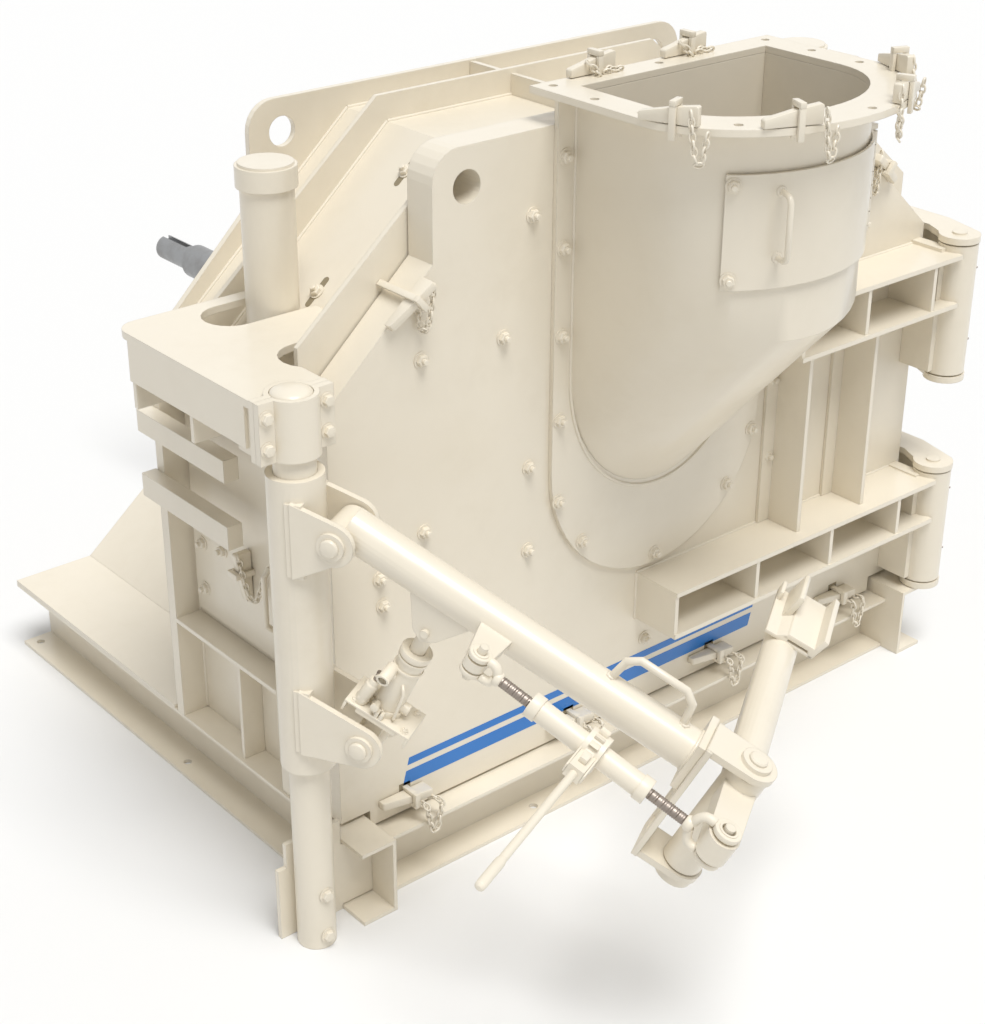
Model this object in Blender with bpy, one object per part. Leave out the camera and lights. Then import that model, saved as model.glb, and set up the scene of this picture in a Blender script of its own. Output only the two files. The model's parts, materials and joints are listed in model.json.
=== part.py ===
"""Cage mill crusher with a hinged front door, a feed chute and a swinging jib for its parts.

Metres, +Z up. X runs across the front, Y to the back, and Z starts under the base. X = 0 is the
centre plane that the shaft, the chute and the housing share.
"""

import math

import bmesh
import bpy
from mathutils import Matrix, Vector

SEAT = 0.0003
RUN_GAP = 0.0055
PIN_PLAY = 0.0006
OPEN_PLAY = 0.005

HALF_WIDTH = 1.27
BASE_FRONT = -0.13
BASE_REAR = 1.97
CHANNEL_HEIGHT = 0.254
CHANNEL_FLANGE = 0.11
CHANNEL_STEEL = 0.012
CROSS_DROP = 0.054
CROSS_FLANGE = 0.112
CROSS_BACK = 0.056
CROSS_HEIGHT = CHANNEL_HEIGHT - CROSS_DROP
BOLT_HOLE = 0.014
DECK_STEEL = 0.012

SIDE_BAY = 0.09
PLATE_LAP = 0.08
SHELL_HALF = HALF_WIDTH - SIDE_BAY
SHELL_STEEL = 0.016
SHELL_FRONT = 0.148
SHELL_LENGTH = 0.722
SHELL_REAR = SHELL_FRONT + SHELL_LENGTH
SHOULDER_Z = 1.53
ROOF_HALF = 0.525
ROOF_RISE = 0.575
ROOF_Z = SHOULDER_Z + ROOF_RISE
RIB_STEEL = 0.016
RIB_Y = SHELL_REAR - 0.2
VENT_RADIUS = 0.076
VENT_X = SHELL_HALF - 0.101
VENT_Y = SHELL_FRONT + 0.335

FRAME_STEEL = 0.016
FRAME_GAP = 0.0005
FRAME_FRONT = SHELL_FRONT - FRAME_GAP - FRAME_STEEL
REAR_PLATE_STEEL = 0.02
LUG_HOLE = 0.046
LUG_CORNER = 0.09

POST_FRONT = SHELL_FRONT + 0.077
POST_BACK = SHELL_FRONT + 0.137
REAR_POST = 0.038
SIDE_TOP = SHOULDER_Z - 0.04
SIDE_LEDGE_Z = CHANNEL_HEIGHT + 0.346
SIDE_STEEL = 0.015
PANEL_STEEL = 0.014
HANDLE_RADIUS = 0.009
LATCH_REACH = 0.05

SHAFT_Z = 1.0
SHAFT_RADIUS = 0.05
SHAFT_OVERHANG = 0.95
SHAFT_TIP = BASE_REAR + SHAFT_OVERHANG
SHAFT_OPENING = 0.085
BEARING_RISE = 0.2
PEDESTAL_TOP = SHAFT_Z - BEARING_RISE
PEDESTAL_TOP_HALF = 0.32
PEDESTAL_FOOT_HALF = SHELL_HALF - 0.21
CAGE_RADIUS = 0.62
CAGE_BAR_RADIUS = 0.024
CAGE_BACK = SHELL_REAR - 0.24
CAGE_FRONT = SHELL_FRONT + 0.072
CAGE_DISC = 0.03

DOOR_STEEL = 0.106
DOOR_LAP = 0.055
DOOR_BACK = FRAME_FRONT - RUN_GAP
DOOR_FACE = DOOR_BACK - DOOR_STEEL
DOOR_HALF = SHELL_HALF + DOOR_LAP
DOOR_LOW = CROSS_HEIGHT + 0.01
DOOR_TOP = ROOF_Z + 0.115
DOOR_LUG_X = SHELL_HALF - 0.31
HINGE_X = DOOR_HALF + 0.032
HINGE_Y = DOOR_FACE - 0.125
BARREL_RADIUS = 0.067
PAD_STEEL = 0.022
PAD_REACH = HINGE_X + 0.103

CHUTE_HALF = 0.38
CHUTE_DEPTH = 0.3
CHUTE_BULGE = 0.3
CHUTE_STRAIGHT = DOOR_FACE - CHUTE_DEPTH
CHUTE_FRONT = CHUTE_STRAIGHT - CHUTE_BULGE
CHUTE_STEEL = 0.014
CHUTE_RISE = 0.077
CHUTE_TOP = DOOR_TOP + CHUTE_RISE
CHUTE_UPRIGHT = 0.617
FOLD_FRONT_Z = CHUTE_TOP - CHUTE_UPRIGHT
FOLD_RISE = 0.384
FLOOR_SLOPE = 1.11
FLANGE_STEEL = 0.016
FLANGE_LIP = 0.065
FLANGE_HALF = CHUTE_HALF + FLANGE_LIP
FLANGE_ARC_Z = FOLD_FRONT_Z - FLOOR_SLOPE * (DOOR_FACE - CHUTE_FRONT) + 0.156
TOP_FLANGE_LIP = 0.09
TOP_FLANGE_STEEL = 0.02
HATCH_HIGH = CHUTE_TOP - 0.127
HATCH_LOW = HATCH_HIGH - 0.32
HATCH_HINGE = (CHUTE_HALF + 0.012, CHUTE_STRAIGHT - 0.12)
HATCH_PIN_RADIUS = 0.006
HATCH_KNUCKLE_RADIUS = 0.012

ARM_STEEL = 0.016
ARM_FRONT = HINGE_Y - 0.061
UPPER_ARM = (SHOULDER_Z - 0.187, SHOULDER_Z - 0.001)
LOWER_ARM_TOP = FLANGE_ARC_Z - FLANGE_HALF - 0.025
LOWER_ARM = (LOWER_ARM_TOP - 0.166, LOWER_ARM_TOP)
UPPER_BARREL = (UPPER_ARM[0] - 0.253, UPPER_ARM[1] + 0.022)
LOWER_BARREL = (CHANNEL_HEIGHT + 0.031, LOWER_ARM[1] + 0.016)
RIB_PAD = 0.05

MAST_X = -HALF_WIDTH - 0.135
MAST_Y = BASE_FRONT + 0.05
MAST_RADIUS = 0.05715
CLAMP_TOP = SHOULDER_Z + 0.2
CLAMP_LOW = CLAMP_TOP - 0.17
CLAMP_RADIUS = MAST_RADIUS + 0.01485
CLAMP_EAR = 0.022
CLAMP_HALF = 0.115
HEAD_LEFT = MAST_X - 0.105
HEAD_PLATE_TOP = CLAMP_TOP - 0.01
HEAD_PLATE_STEEL = 0.022
HEAD_STEEL = 0.016
MAST_TOP = CLAMP_TOP - 0.005
SLEEVE_RADIUS = MAST_RADIUS + 0.02135
SLEEVE_TOP = CLAMP_LOW - 0.05
BOOM_PIN_Z = SLEEVE_TOP - 0.153
JACK_DROP = 0.6
JACK_PIN_Z = BOOM_PIN_Z - JACK_DROP
SLEEVE_LOW = JACK_PIN_Z - 0.137

JIB_HEADING = math.radians(300.0)
BOOM_PITCH = math.radians(27.0)
BOOM_REACH = 0.135
BOOM_LIFT = 0.024
BOOM_RADIUS = 0.05715
BOOM_END = 1.05
END_PLATE_STEEL = 0.016
EAR_GAP = 0.0705
EAR_STEEL = 0.018
EAR_RADIUS = 0.061
PIN_RADIUS = 0.025
PIN_COLLAR = 0.014
CROSSHEAD_RADIUS = 0.047
JACK_REACH = 0.195
GUSSET_PIN = (0.315, -0.098)
GUSSET_GAP = 0.03
KNUCKLE = (BOOM_END + 0.14, -0.03)
KNUCKLE_TOP = 0.1
KNUCKLE_LOW = -0.265
KNUCKLE_STEEL = 0.02
KNUCKLE_PLATE = 0.062
KNUCKLE_RADIUS = 0.055
LUG = (BOOM_END - 0.58, -0.19)
LUG_HALF = 0.014
LEVER_PIN = (KNUCKLE[0] + 0.012, KNUCKLE[1] - 0.238)
LEVER_PIN_RADIUS = 0.014
LEVER_HALF = 0.034
STICK_RADIUS = 0.0508
STICK_END = (KNUCKLE[0] - 0.053, KNUCKLE[1] + 0.765)
SADDLE_FLAT = 0.012
SADDLE_HALF = 0.102
SADDLE_RISE = 0.107
SADDLE_LENGTH = 0.18
STUD_RADIUS = 0.015
BUCKLE_RADIUS = 0.03
SMALL_PIN_RADIUS = 0.012
JACK_RADIUS = 0.04
RAM_RADIUS = 0.0215

CREAM = (0.77, 0.72, 0.60)
FINISHES = {
    "cream_paint": (CREAM, 0.38, 0.0),
    "bare_steel": ((0.30, 0.31, 0.32), 0.34, 1.0),
    "cast_liner": ((0.16, 0.15, 0.14), 0.62, 0.85),
    "galvanised": ((0.55, 0.55, 0.53), 0.42, 0.9),
}


def clear_scene():
    for obj in list(bpy.data.objects):
        bpy.data.objects.remove(obj)


def piece(points, faces):
    """A closed mesh object, faces outwards, to be joined or cut."""
    mesh = bpy.data.meshes.new("piece")
    mesh.from_pydata([tuple(point) for point in points], [], faces)
    work = bmesh.new()
    work.from_mesh(mesh)
    bmesh.ops.recalc_face_normals(work, faces=work.faces)
    work.to_mesh(mesh)
    work.free()
    obj = bpy.data.objects.new("piece", mesh)
    bpy.context.scene.collection.objects.link(obj)
    return obj


def loft(rings):
    """Closed solid through rings of the same number of points."""
    count = len(rings[0])
    points = [point for ring in rings for point in ring]
    faces = [list(range(count)), list(range(len(points) - count, len(points)))]
    for start in range(0, len(points) - count, count):
        for i in range(count):
            j = (i + 1) % count
            faces.append([start + i, start + j, start + count + j, start + count + i])
    return piece(points, faces)


def prism(outline, axis, low, high):
    """Outline in the two other axes, in their order, drawn out along the named one."""
    rings = []
    for level in (low, high):
        if axis == "x":
            rings.append([(level, a, b) for a, b in outline])
        elif axis == "y":
            rings.append([(a, level, b) for a, b in outline])
        else:
            rings.append([(a, b, level) for a, b in outline])
    return loft(rings)


def box(low, high):
    corners = [(low[0], low[1]), (high[0], low[1]), (high[0], high[1]), (low[0], high[1])]
    return prism(corners, "z", low[2], high[2])


def cross_axes(direction):
    side = Vector((0.0, 0.0, 1.0)) if abs(direction.z) < 0.9 else Vector((1.0, 0.0, 0.0))
    first = direction.cross(side).normalized()
    return first, direction.cross(first).normalized()


def bar(points, radius, segments=24):
    """Round bar along a line of points, with mitred bends."""
    points = [Vector(point) for point in points]
    ways = [(after - before).normalized() for before, after in zip(points, points[1:])]
    first, second = cross_axes(ways[0])
    rings = [mitred_ring(points[0], first, second, ways[0], ways[0], radius, segments)]
    for before, after, point in zip(ways, ways[1:], points[1:]):
        turn = before.rotation_difference(after)
        first = turn @ first
        second = turn @ second
        rings.append(mitred_ring(point, first, second, after, before + after, radius, segments))
    rings.append(mitred_ring(points[-1], first, second, ways[-1], ways[-1], radius, segments))
    return loft(rings)


def mitred_ring(point, first, second, way, normal, radius, segments):
    """Ring of a bar that runs along way, where a plane with that normal cuts it."""
    ring = []
    for k in range(segments):
        angle = math.tau * k / segments
        spoke = (first * math.cos(angle) + second * math.sin(angle)) * radius
        ring.append(point + spoke - way * (spoke.dot(normal) / way.dot(normal)))
    return ring


def disc(centre, axis, low, high, radius, segments=32):
    """Round bar along X, Y or Z through the two other coordinates of the centre."""
    if axis == "x":
        ends = [(low, centre[0], centre[1]), (high, centre[0], centre[1])]
    elif axis == "y":
        ends = [(centre[0], low, centre[1]), (centre[0], high, centre[1])]
    else:
        ends = [(centre[0], centre[1], low), (centre[0], centre[1], high)]
    return bar(ends, radius, segments)


def arc(centre, radii, start, end, steps):
    """Points on an ellipse, angles in degrees."""
    points = []
    for k in range(steps + 1):
        angle = math.radians(start + (end - start) * k / steps)
        points.append((centre[0] + radii[0] * math.cos(angle), centre[1] + radii[1] * math.sin(angle)))
    return points


def mirrored(outline):
    return [(-a, b) for a, b in reversed(outline)]


def moved(obj, matrix):
    obj.data.transform(matrix)
    if matrix.determinant() < 0:
        obj.data.flip_normals()
    return obj


def combined(pieces, cuts):
    body = pieces[0]
    for operation, others in (("UNION", pieces[1:]), ("DIFFERENCE", cuts)):
        for other in others:
            modifier = body.modifiers.new(operation.lower(), "BOOLEAN")
            modifier.operation = operation
            modifier.solver = "EXACT"
            modifier.object = other
    graph = bpy.context.evaluated_depsgraph_get()
    mesh = bpy.data.meshes.new_from_object(body.evaluated_get(graph))
    for used in [*pieces, *cuts]:
        bpy.data.objects.remove(used)
    return mesh


def part(name, pieces, cuts=(), finish="cream_paint", origin=(0.0, 0.0, 0.0)):
    """One named body made of the pieces less the cuts, with its origin at the given point."""
    mesh = combined(list(pieces), list(cuts))
    work = bmesh.new()
    work.from_mesh(mesh)
    bmesh.ops.remove_doubles(work, verts=work.verts, dist=0.00002)
    work.to_mesh(mesh)
    work.free()
    mesh.transform(Matrix.Translation(-Vector(origin)))
    mesh.name = name
    for polygon in mesh.polygons:
        polygon.use_smooth = True
    mesh.set_sharp_from_angle(angle=math.radians(34.0))
    colour, roughness, metallic = FINISHES[finish]
    material = bpy.data.materials.new(name + "_" + finish)
    material.use_nodes = True
    shader = material.node_tree.nodes["Principled BSDF"]
    shader.inputs["Base Color"].default_value = (*colour, 1.0)
    shader.inputs["Roughness"].default_value = roughness
    shader.inputs["Metallic"].default_value = metallic
    mesh.materials.clear()
    mesh.materials.append(material)
    obj = bpy.data.objects.new(name, mesh)
    obj.location = origin
    bpy.context.scene.collection.objects.link(obj)
    return obj


def side_channel(name, side):
    web_out = HALF_WIDTH - CHANNEL_FLANGE
    outline = [
        (side * (web_out - CHANNEL_STEEL), 0.0),
        (side * HALF_WIDTH, 0.0),
        (side * HALF_WIDTH, CHANNEL_STEEL),
        (side * web_out, CHANNEL_STEEL),
        (side * web_out, CHANNEL_HEIGHT - CHANNEL_STEEL),
        (side * HALF_WIDTH, CHANNEL_HEIGHT - CHANNEL_STEEL),
        (side * HALF_WIDTH, CHANNEL_HEIGHT),
        (side * (web_out - CHANNEL_STEEL), CHANNEL_HEIGHT),
    ]
    hole_x = side * (HALF_WIDTH - 0.045)
    middle = (BASE_FRONT + BASE_REAR) / 2.0 - 0.005
    rows = (BASE_FRONT + 0.127, middle, BASE_REAR - 0.044)
    holes = [disc((hole_x, y), "z", -0.1, 0.1, BOLT_HOLE, 16) for y in rows]
    part(name, [prism(outline, "y", BASE_FRONT, BASE_REAR)], holes)


def cross_channel(name, web_back, flange, height, holes):
    """Channel between the side webs, its web upright and its flanges to the front."""
    half = HALF_WIDTH - CHANNEL_FLANGE - CHANNEL_STEEL - SEAT
    web_front = web_back - CHANNEL_STEEL
    flange_front = web_back - flange
    outline = [
        (flange_front, 0.0),
        (web_back, 0.0),
        (web_back, height),
        (flange_front, height),
        (flange_front, height - CHANNEL_STEEL),
        (web_front, height - CHANNEL_STEEL),
        (web_front, CHANNEL_STEEL),
        (flange_front, CHANNEL_STEEL),
    ]
    cuts = [disc(hole, "z", -0.1, 0.1, BOLT_HOLE, 16) for hole in holes]
    part(name, [prism(outline, "x", -half, half)], cuts)


def pedestal_and_decks():
    front = SHELL_REAR + REAR_PLATE_STEEL + 2.0 * SEAT
    floor = CHANNEL_HEIGHT + SEAT
    slope = [
        (-PEDESTAL_FOOT_HALF, floor),
        (PEDESTAL_FOOT_HALF, floor),
        (PEDESTAL_FOOT_HALF, floor + DECK_STEEL),
        (PEDESTAL_TOP_HALF, PEDESTAL_TOP),
        (-PEDESTAL_TOP_HALF, PEDESTAL_TOP),
        (-PEDESTAL_FOOT_HALF, floor + DECK_STEEL),
    ]
    part("bearing_pedestal", [prism(slope, "y", front, BASE_REAR)])
    for name, side in (("deck_plate_left", -1.0), ("deck_plate_right", 1.0)):
        ends = sorted((side * HALF_WIDTH, side * (PEDESTAL_FOOT_HALF + SEAT)))
        low = (ends[0], front, floor)
        high = (ends[1], BASE_REAR, floor + DECK_STEEL)
        part(name, [box(low, high)])


def housing_outline(half, roof_half, shoulder, roof, foot):
    left = [(-half, foot), (-half, shoulder), (-roof_half, roof)]
    return left + mirrored(left)


def housing_shell():
    foot = CHANNEL_HEIGHT + SEAT
    steel = SHELL_STEEL
    slant = math.hypot(ROOF_Z - SHOULDER_Z, SHELL_HALF - ROOF_HALF) / (SHELL_HALF - ROOF_HALF)
    grade = (ROOF_Z - SHOULDER_Z) / (SHELL_HALF - ROOF_HALF)
    drop = steel * slant - steel * grade
    outer = housing_outline(SHELL_HALF, ROOF_HALF, SHOULDER_Z, ROOF_Z, foot)
    inner = housing_outline(
        SHELL_HALF - steel, ROOF_HALF - 0.375 * steel, SHOULDER_Z - drop, ROOF_Z - steel, foot - 0.1
    )
    body = prism(outer, "y", SHELL_FRONT, SHELL_REAR)
    hollow = prism(inner, "y", SHELL_FRONT - 0.1, SHELL_REAR - steel)
    shaft_hole = disc((0.0, SHAFT_Z), "y", SHELL_REAR - 0.1, SHELL_REAR + 0.1, SHAFT_OPENING)
    part("housing_shell", [body], [hollow, shaft_hole])


def lug_outline(lug_x, lug_top, slope_at_lug, shoulder, half, foot, corner):
    """Left half of a plate with an upright lifting lug at the head of its slope."""
    rounded = arc((lug_x + corner, lug_top - corner), (corner, corner), 180.0, 90.0, 6)
    return [(-half, foot), (-half, shoulder), (lug_x, slope_at_lug), *rounded]


def housing_plates():
    frame_back = FRAME_FRONT + FRAME_STEEL
    foot = CHANNEL_HEIGHT + SEAT
    outer = housing_outline(
        SHELL_HALF + 0.06, ROOF_HALF + 0.165, SHOULDER_Z + 0.205, ROOF_Z + 0.095, foot
    )
    inner = housing_outline(
        SHELL_HALF - 0.12, ROOF_HALF - 0.055, SHOULDER_Z - 0.07, ROOF_Z - 0.125, foot + 0.1
    )
    part(
        "housing_front_frame",
        [prism(outer, "y", FRAME_FRONT, frame_back)],
        [prism(inner, "y", FRAME_FRONT - 0.1, frame_back + 0.1)],
    )
    raised = 0.1
    outer = housing_outline(
        SHELL_HALF + PLATE_LAP, ROOF_HALF + 0.035, SHOULDER_Z + 0.07, ROOF_Z + 0.082, SHOULDER_Z - 0.08
    )
    inner = housing_outline(
        SHELL_HALF + SEAT, ROOF_HALF + SEAT * 0.4, SHOULDER_Z + SEAT, ROOF_Z + SEAT, 0.0
    )
    rib = box(
        (-0.045, frame_back + raised, ROOF_Z + SEAT), (-0.027, SHELL_REAR - 2.0 * SEAT, ROOF_Z + 0.065)
    )
    part(
        "mid_rib_plate",
        [prism(outer, "y", RIB_Y, RIB_Y + RIB_STEEL), rib],
        [prism(inner, "y", RIB_Y - 0.07, RIB_Y + 0.08)],
    )
    left = lug_outline(
        0.3 - SHELL_HALF,
        ROOF_Z + 0.07,
        SHOULDER_Z + 0.35,
        SHOULDER_Z - 0.018,
        SHELL_HALF + PLATE_LAP,
        foot,
        LUG_CORNER,
    )
    outline = left + mirrored(left)
    rear_back = SHELL_REAR + SEAT + REAR_PLATE_STEEL
    hole_x = SHELL_HALF - 0.417
    holes = [
        disc((x, ROOF_Z - 0.031), "y", SHELL_REAR - 0.1, rear_back + 0.1, LUG_HOLE, 24)
        for x in (-hole_x, hole_x)
    ]
    holes.append(disc((0.0, SHAFT_Z), "y", SHELL_REAR - 0.1, rear_back + 0.1, SHAFT_OPENING))
    part("rear_lifting_plate", [prism(outline, "y", SHELL_REAR + SEAT, rear_back)], holes)


def vent_pipe(name, side):
    x = side * VENT_X
    y = VENT_Y
    slope = housing_outline(
        SHELL_HALF + SEAT, ROOF_HALF + SEAT * 0.4, SHOULDER_Z + SEAT, ROOF_Z + SEAT, 0.0
    )
    pipe = disc((x, y), "z", SHOULDER_Z - 0.13, ROOF_Z - 0.005, VENT_RADIUS)
    cap = disc((x, y), "z", ROOF_Z - 0.04, ROOF_Z + 0.02, VENT_RADIUS + 0.011)
    crown = disc((x, y), "z", ROOF_Z + 0.015, ROOF_Z + 0.028, VENT_RADIUS + 0.002)
    part(name, [pipe, cap, crown], [prism(slope, "y", y - 0.183, y + 0.167)])


def side_frame(name, side):
    """Posts, ledge and rib on the side of the housing."""

    def at(x0, x1, y0, y1, z0, z1):
        ends = sorted((side * x0, side * x1))
        return box((ends[0], y0, z0), (ends[1], y1, z1))

    wall = SHELL_HALF + SEAT
    foot = CHANNEL_HEIGHT + SEAT
    rear_post = SHELL_REAR - REAR_POST
    start = POST_BACK - 0.005
    end = rear_post + 0.008
    ledge_top = SIDE_LEDGE_Z + SIDE_STEEL
    rib = SHELL_FRONT + 0.352
    rail = SIDE_TOP - 0.07
    pieces = [
        at(wall, HALF_WIDTH - 0.008, POST_FRONT, POST_BACK, foot, SIDE_TOP),
        at(wall, HALF_WIDTH, rear_post, SHELL_REAR, foot, SIDE_TOP),
        at(wall, HALF_WIDTH, start, end, SIDE_LEDGE_Z, ledge_top),
        at(wall, HALF_WIDTH - 0.015, rib, rib + SIDE_STEEL, foot, SIDE_LEDGE_Z + 0.005),
        at(wall, HALF_WIDTH - 0.02, start, end, rail, rail + SIDE_STEEL),
    ]
    part(name, pieces)


def side_panel(name, side):
    wall = SHELL_HALF + SEAT

    def at(x, y, z):
        return (side * x, y, z)

    front = POST_BACK + 0.015
    foot = SIDE_LEDGE_Z + 0.04
    ends = sorted((side * wall, side * (wall + PANEL_STEEL)))
    plate = box((ends[0], front, foot), (ends[1], SHELL_REAR - 0.055, SIDE_TOP - 0.09))
    y = front + 0.045
    low = foot + 0.14
    high = low + 0.2
    loop = [
        at(wall + 0.008, y, low),
        at(wall + 0.05, y, low),
        at(wall + 0.068, y, low + 0.02),
        at(wall + 0.068, y, high - 0.02),
        at(wall + 0.05, y, high),
        at(wall + 0.008, y, high),
    ]
    part(name, [plate, bar(loop, HANDLE_RADIUS, 12)])


def latch_bar(name, side, low, high):
    ends = sorted((side * (HALF_WIDTH + SEAT), side * (HALF_WIDTH + LATCH_REACH)))
    part(name, [box((ends[0], SHELL_FRONT + 0.262, low), (ends[1], SHELL_REAR + 0.01, high))])


def clamp_half(back):
    """Ring and ears of one half of the mast clamp, and what is cut from them."""
    ring = disc((MAST_X, MAST_Y), "z", CLAMP_LOW, CLAMP_TOP, CLAMP_RADIUS)
    depth = sorted((MAST_Y, MAST_Y + (CLAMP_EAR if back else -CLAMP_EAR)))
    ears = box((MAST_X - CLAMP_HALF, depth[0], CLAMP_LOW), (MAST_X + CLAMP_HALF, depth[1], CLAMP_TOP))
    away = (MAST_Y - 0.32, MAST_Y + SEAT) if back else (MAST_Y - SEAT, MAST_Y + 0.28)
    low = CLAMP_LOW - 0.06
    high = CLAMP_TOP + 0.07
    cuts = [
        box((MAST_X - 0.195, away[0], low), (MAST_X + 0.205, away[1], high)),
        disc((MAST_X, MAST_Y), "z", low, high, MAST_RADIUS + SEAT),
    ]
    return [ring, ears], cuts


def mast_head_bracket():
    plate_low = HEAD_PLATE_TOP - HEAD_PLATE_STEEL
    right = 0.188 - SHELL_HALF
    front = MAST_Y + 0.02
    rear = VENT_Y + 0.137
    inner = MAST_X + 0.125
    round_corner = arc((HEAD_LEFT + 0.06, rear - 0.06), (0.06, 0.06), 180.0, 90.0, 6)
    outline = [
        (HEAD_LEFT, front),
        *round_corner,
        (right, rear),
        (right, SHELL_FRONT + 0.007),
        (inner, SHELL_FRONT + 0.007),
        (inner, front),
    ]
    seam = plate_low + 0.005
    skirt = box((HEAD_LEFT, front + 0.04, CLAMP_LOW + 0.02), (HEAD_LEFT + HEAD_STEEL, rear - 0.07, seam))
    wall = -SHELL_HALF - SEAT
    low = CLAMP_LOW - 0.06
    webs = [
        box((HEAD_LEFT + 0.005, y, low), (wall, y + HEAD_STEEL, seam))
        for y in (SHELL_FRONT + 0.092, rear - 0.09)
    ]
    ring_and_ears, cuts = clamp_half(True)
    back = box(
        (MAST_X - 0.095, MAST_Y + 0.015, CLAMP_LOW), (MAST_X + 0.095, MAST_Y + 0.11, HEAD_PLATE_TOP - 0.002)
    )
    pieces = [prism(outline, "z", plate_low, HEAD_PLATE_TOP), skirt, *webs, *ring_and_ears, back]
    for start, width in ((MAST_Y + 0.1, 0.18), (rear - 0.22, 0.17)):
        reach = width / 2.0
        middle = start + reach
        slot = arc((MAST_X + 0.105 + reach, middle), (reach, reach), 90.0, 270.0, 10)
        slot += [(right + 0.092, start), (right + 0.092, start + width)]
        cuts.append(prism(slot, "z", plate_low - 0.098, HEAD_PLATE_TOP + 0.08))
    part("mast_head_bracket", pieces, cuts)


def mast_parts():
    dome = arc((0.0, MAST_TOP), (MAST_RADIUS, 0.02), 0.0, 90.0, 5)
    rings = []
    for radius, height in [(MAST_RADIUS, 0.0), *dome]:
        radius = max(radius, 0.004)
        turns = [math.tau * k / 32 for k in range(32)]
        rings.append(
            [(MAST_X + radius * math.cos(t), MAST_Y + radius * math.sin(t), height) for t in turns]
        )
    part("jib_mast", [loft(rings)])
    pieces, cuts = clamp_half(False)
    part("mast_clamp_cap", pieces, cuts)
    back = MAST_Y + MAST_RADIUS + SEAT
    right = -HALF_WIDTH - SEAT
    top = CHANNEL_HEIGHT + 0.066
    left = MAST_X - 0.085
    outline = [(left, 0.0), (right, 0.0), (right, top), (left + 0.03, top)]
    outline += [(left + 0.03, top - 0.08), (left, top - 0.08)]
    web = -HALF_WIDTH + CHANNEL_FLANGE - SEAT
    tongue = box(
        (-HALF_WIDTH - 0.05, back, CHANNEL_STEEL + 0.005),
        (web, back + HEAD_STEEL, CHANNEL_HEIGHT - CHANNEL_STEEL - 0.007),
    )
    part("mast_foot_bracket", [prism(outline, "y", back, back + HEAD_STEEL), tongue])


def door_outline():
    web = HALF_WIDTH - CHANNEL_FLANGE - CHANNEL_STEEL - 0.018
    foot = CHANNEL_HEIGHT + 0.011
    corner = (LUG_CORNER - DOOR_LUG_X, DOOR_TOP - LUG_CORNER)
    left = [
        (-web, DOOR_LOW),
        (-web, foot),
        (-DOOR_HALF, foot),
        (-DOOR_HALF, SHOULDER_Z + 0.057),
        (-DOOR_LUG_X, SHOULDER_Z + 0.385),
        *arc(corner, (LUG_CORNER, LUG_CORNER), 180.0, 90.0, 6),
    ]
    return left + mirrored(left)


def feed_hole_outline(inset):
    """Where the chute meets the door, as (x, z)."""
    half = CHUTE_HALF - inset
    low = chute_landing(CHUTE_FRONT + inset) + inset * 0.5
    side = chute_landing(CHUTE_STRAIGHT)
    lower = arc((0.0, side), (half, side - low), 180.0, 360.0, 20)
    top = FOLD_FRONT_Z + 0.12
    return [(-half, top), *lower, (half, top)]


def fold_height(y):
    """Height of the fold between the upright part of the chute and its floor."""
    return FOLD_FRONT_Z + FOLD_RISE * (y - CHUTE_FRONT)


def chute_landing(y):
    """Height at which the floor from the fold at y reaches the door."""
    return fold_height(y) - FLOOR_SLOPE * (DOOR_FACE - y)


def chute_plan(inset, back):
    """Chute outline from back left round the front to back right."""
    half = CHUTE_HALF - inset
    front = arc((0.0, CHUTE_STRAIGHT), (half, CHUTE_STRAIGHT - CHUTE_FRONT - inset), 180.0, 360.0, 24)
    return [(-half, back), *front, (half, back)]


def chute_solid(inset, top, back, drop):
    """Upright D-shaped shaft that folds into a floor sloping back to the door."""
    plan = chute_plan(inset, back)
    top_ring = [(x, y, top) for x, y in plan]
    fold_ring = [(x, y, fold_height(y) - drop) for x, y in plan]
    land_ring = [(x, back, fold_height(y) - drop - FLOOR_SLOPE * (back - y)) for x, y in plan]
    count = len(plan)
    points = [*top_ring, *fold_ring, *land_ring[1:-1]]
    faces = [list(range(count))]
    for i in range(count - 1):
        faces.append([i, i + 1, count + i + 1, count + i])
    base = 2 * count

    def low(i):
        if i == 0:
            return count
        if i == count - 1:
            return 2 * count - 1
        return base + i - 1

    for i in range(count - 1):
        face = [count + i, count + i + 1, low(i + 1), low(i)]
        faces.append(list(dict.fromkeys(face)))
    back_face = [0, *[low(i) for i in range(count)], count - 1]
    faces.append(back_face)
    return piece(points, faces)


def hatch_ring(radius_add, start, end, low, high, steps=10):
    """Curved slab that follows the chute's front, angles from straight ahead to the right."""
    inner = []
    outer = []
    depth = CHUTE_STRAIGHT - CHUTE_FRONT
    for k in range(steps + 1):
        angle = math.radians(-90.0 + start + (end - start) * k / steps)
        for points, grow in ((inner, radius_add[0]), (outer, radius_add[1])):
            x = (CHUTE_HALF + grow) * math.cos(angle)
            y = CHUTE_STRAIGHT + (depth + grow) * math.sin(angle)
            points.append((x, y))
    return prism(inner + outer[::-1], "z", low, high)


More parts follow.
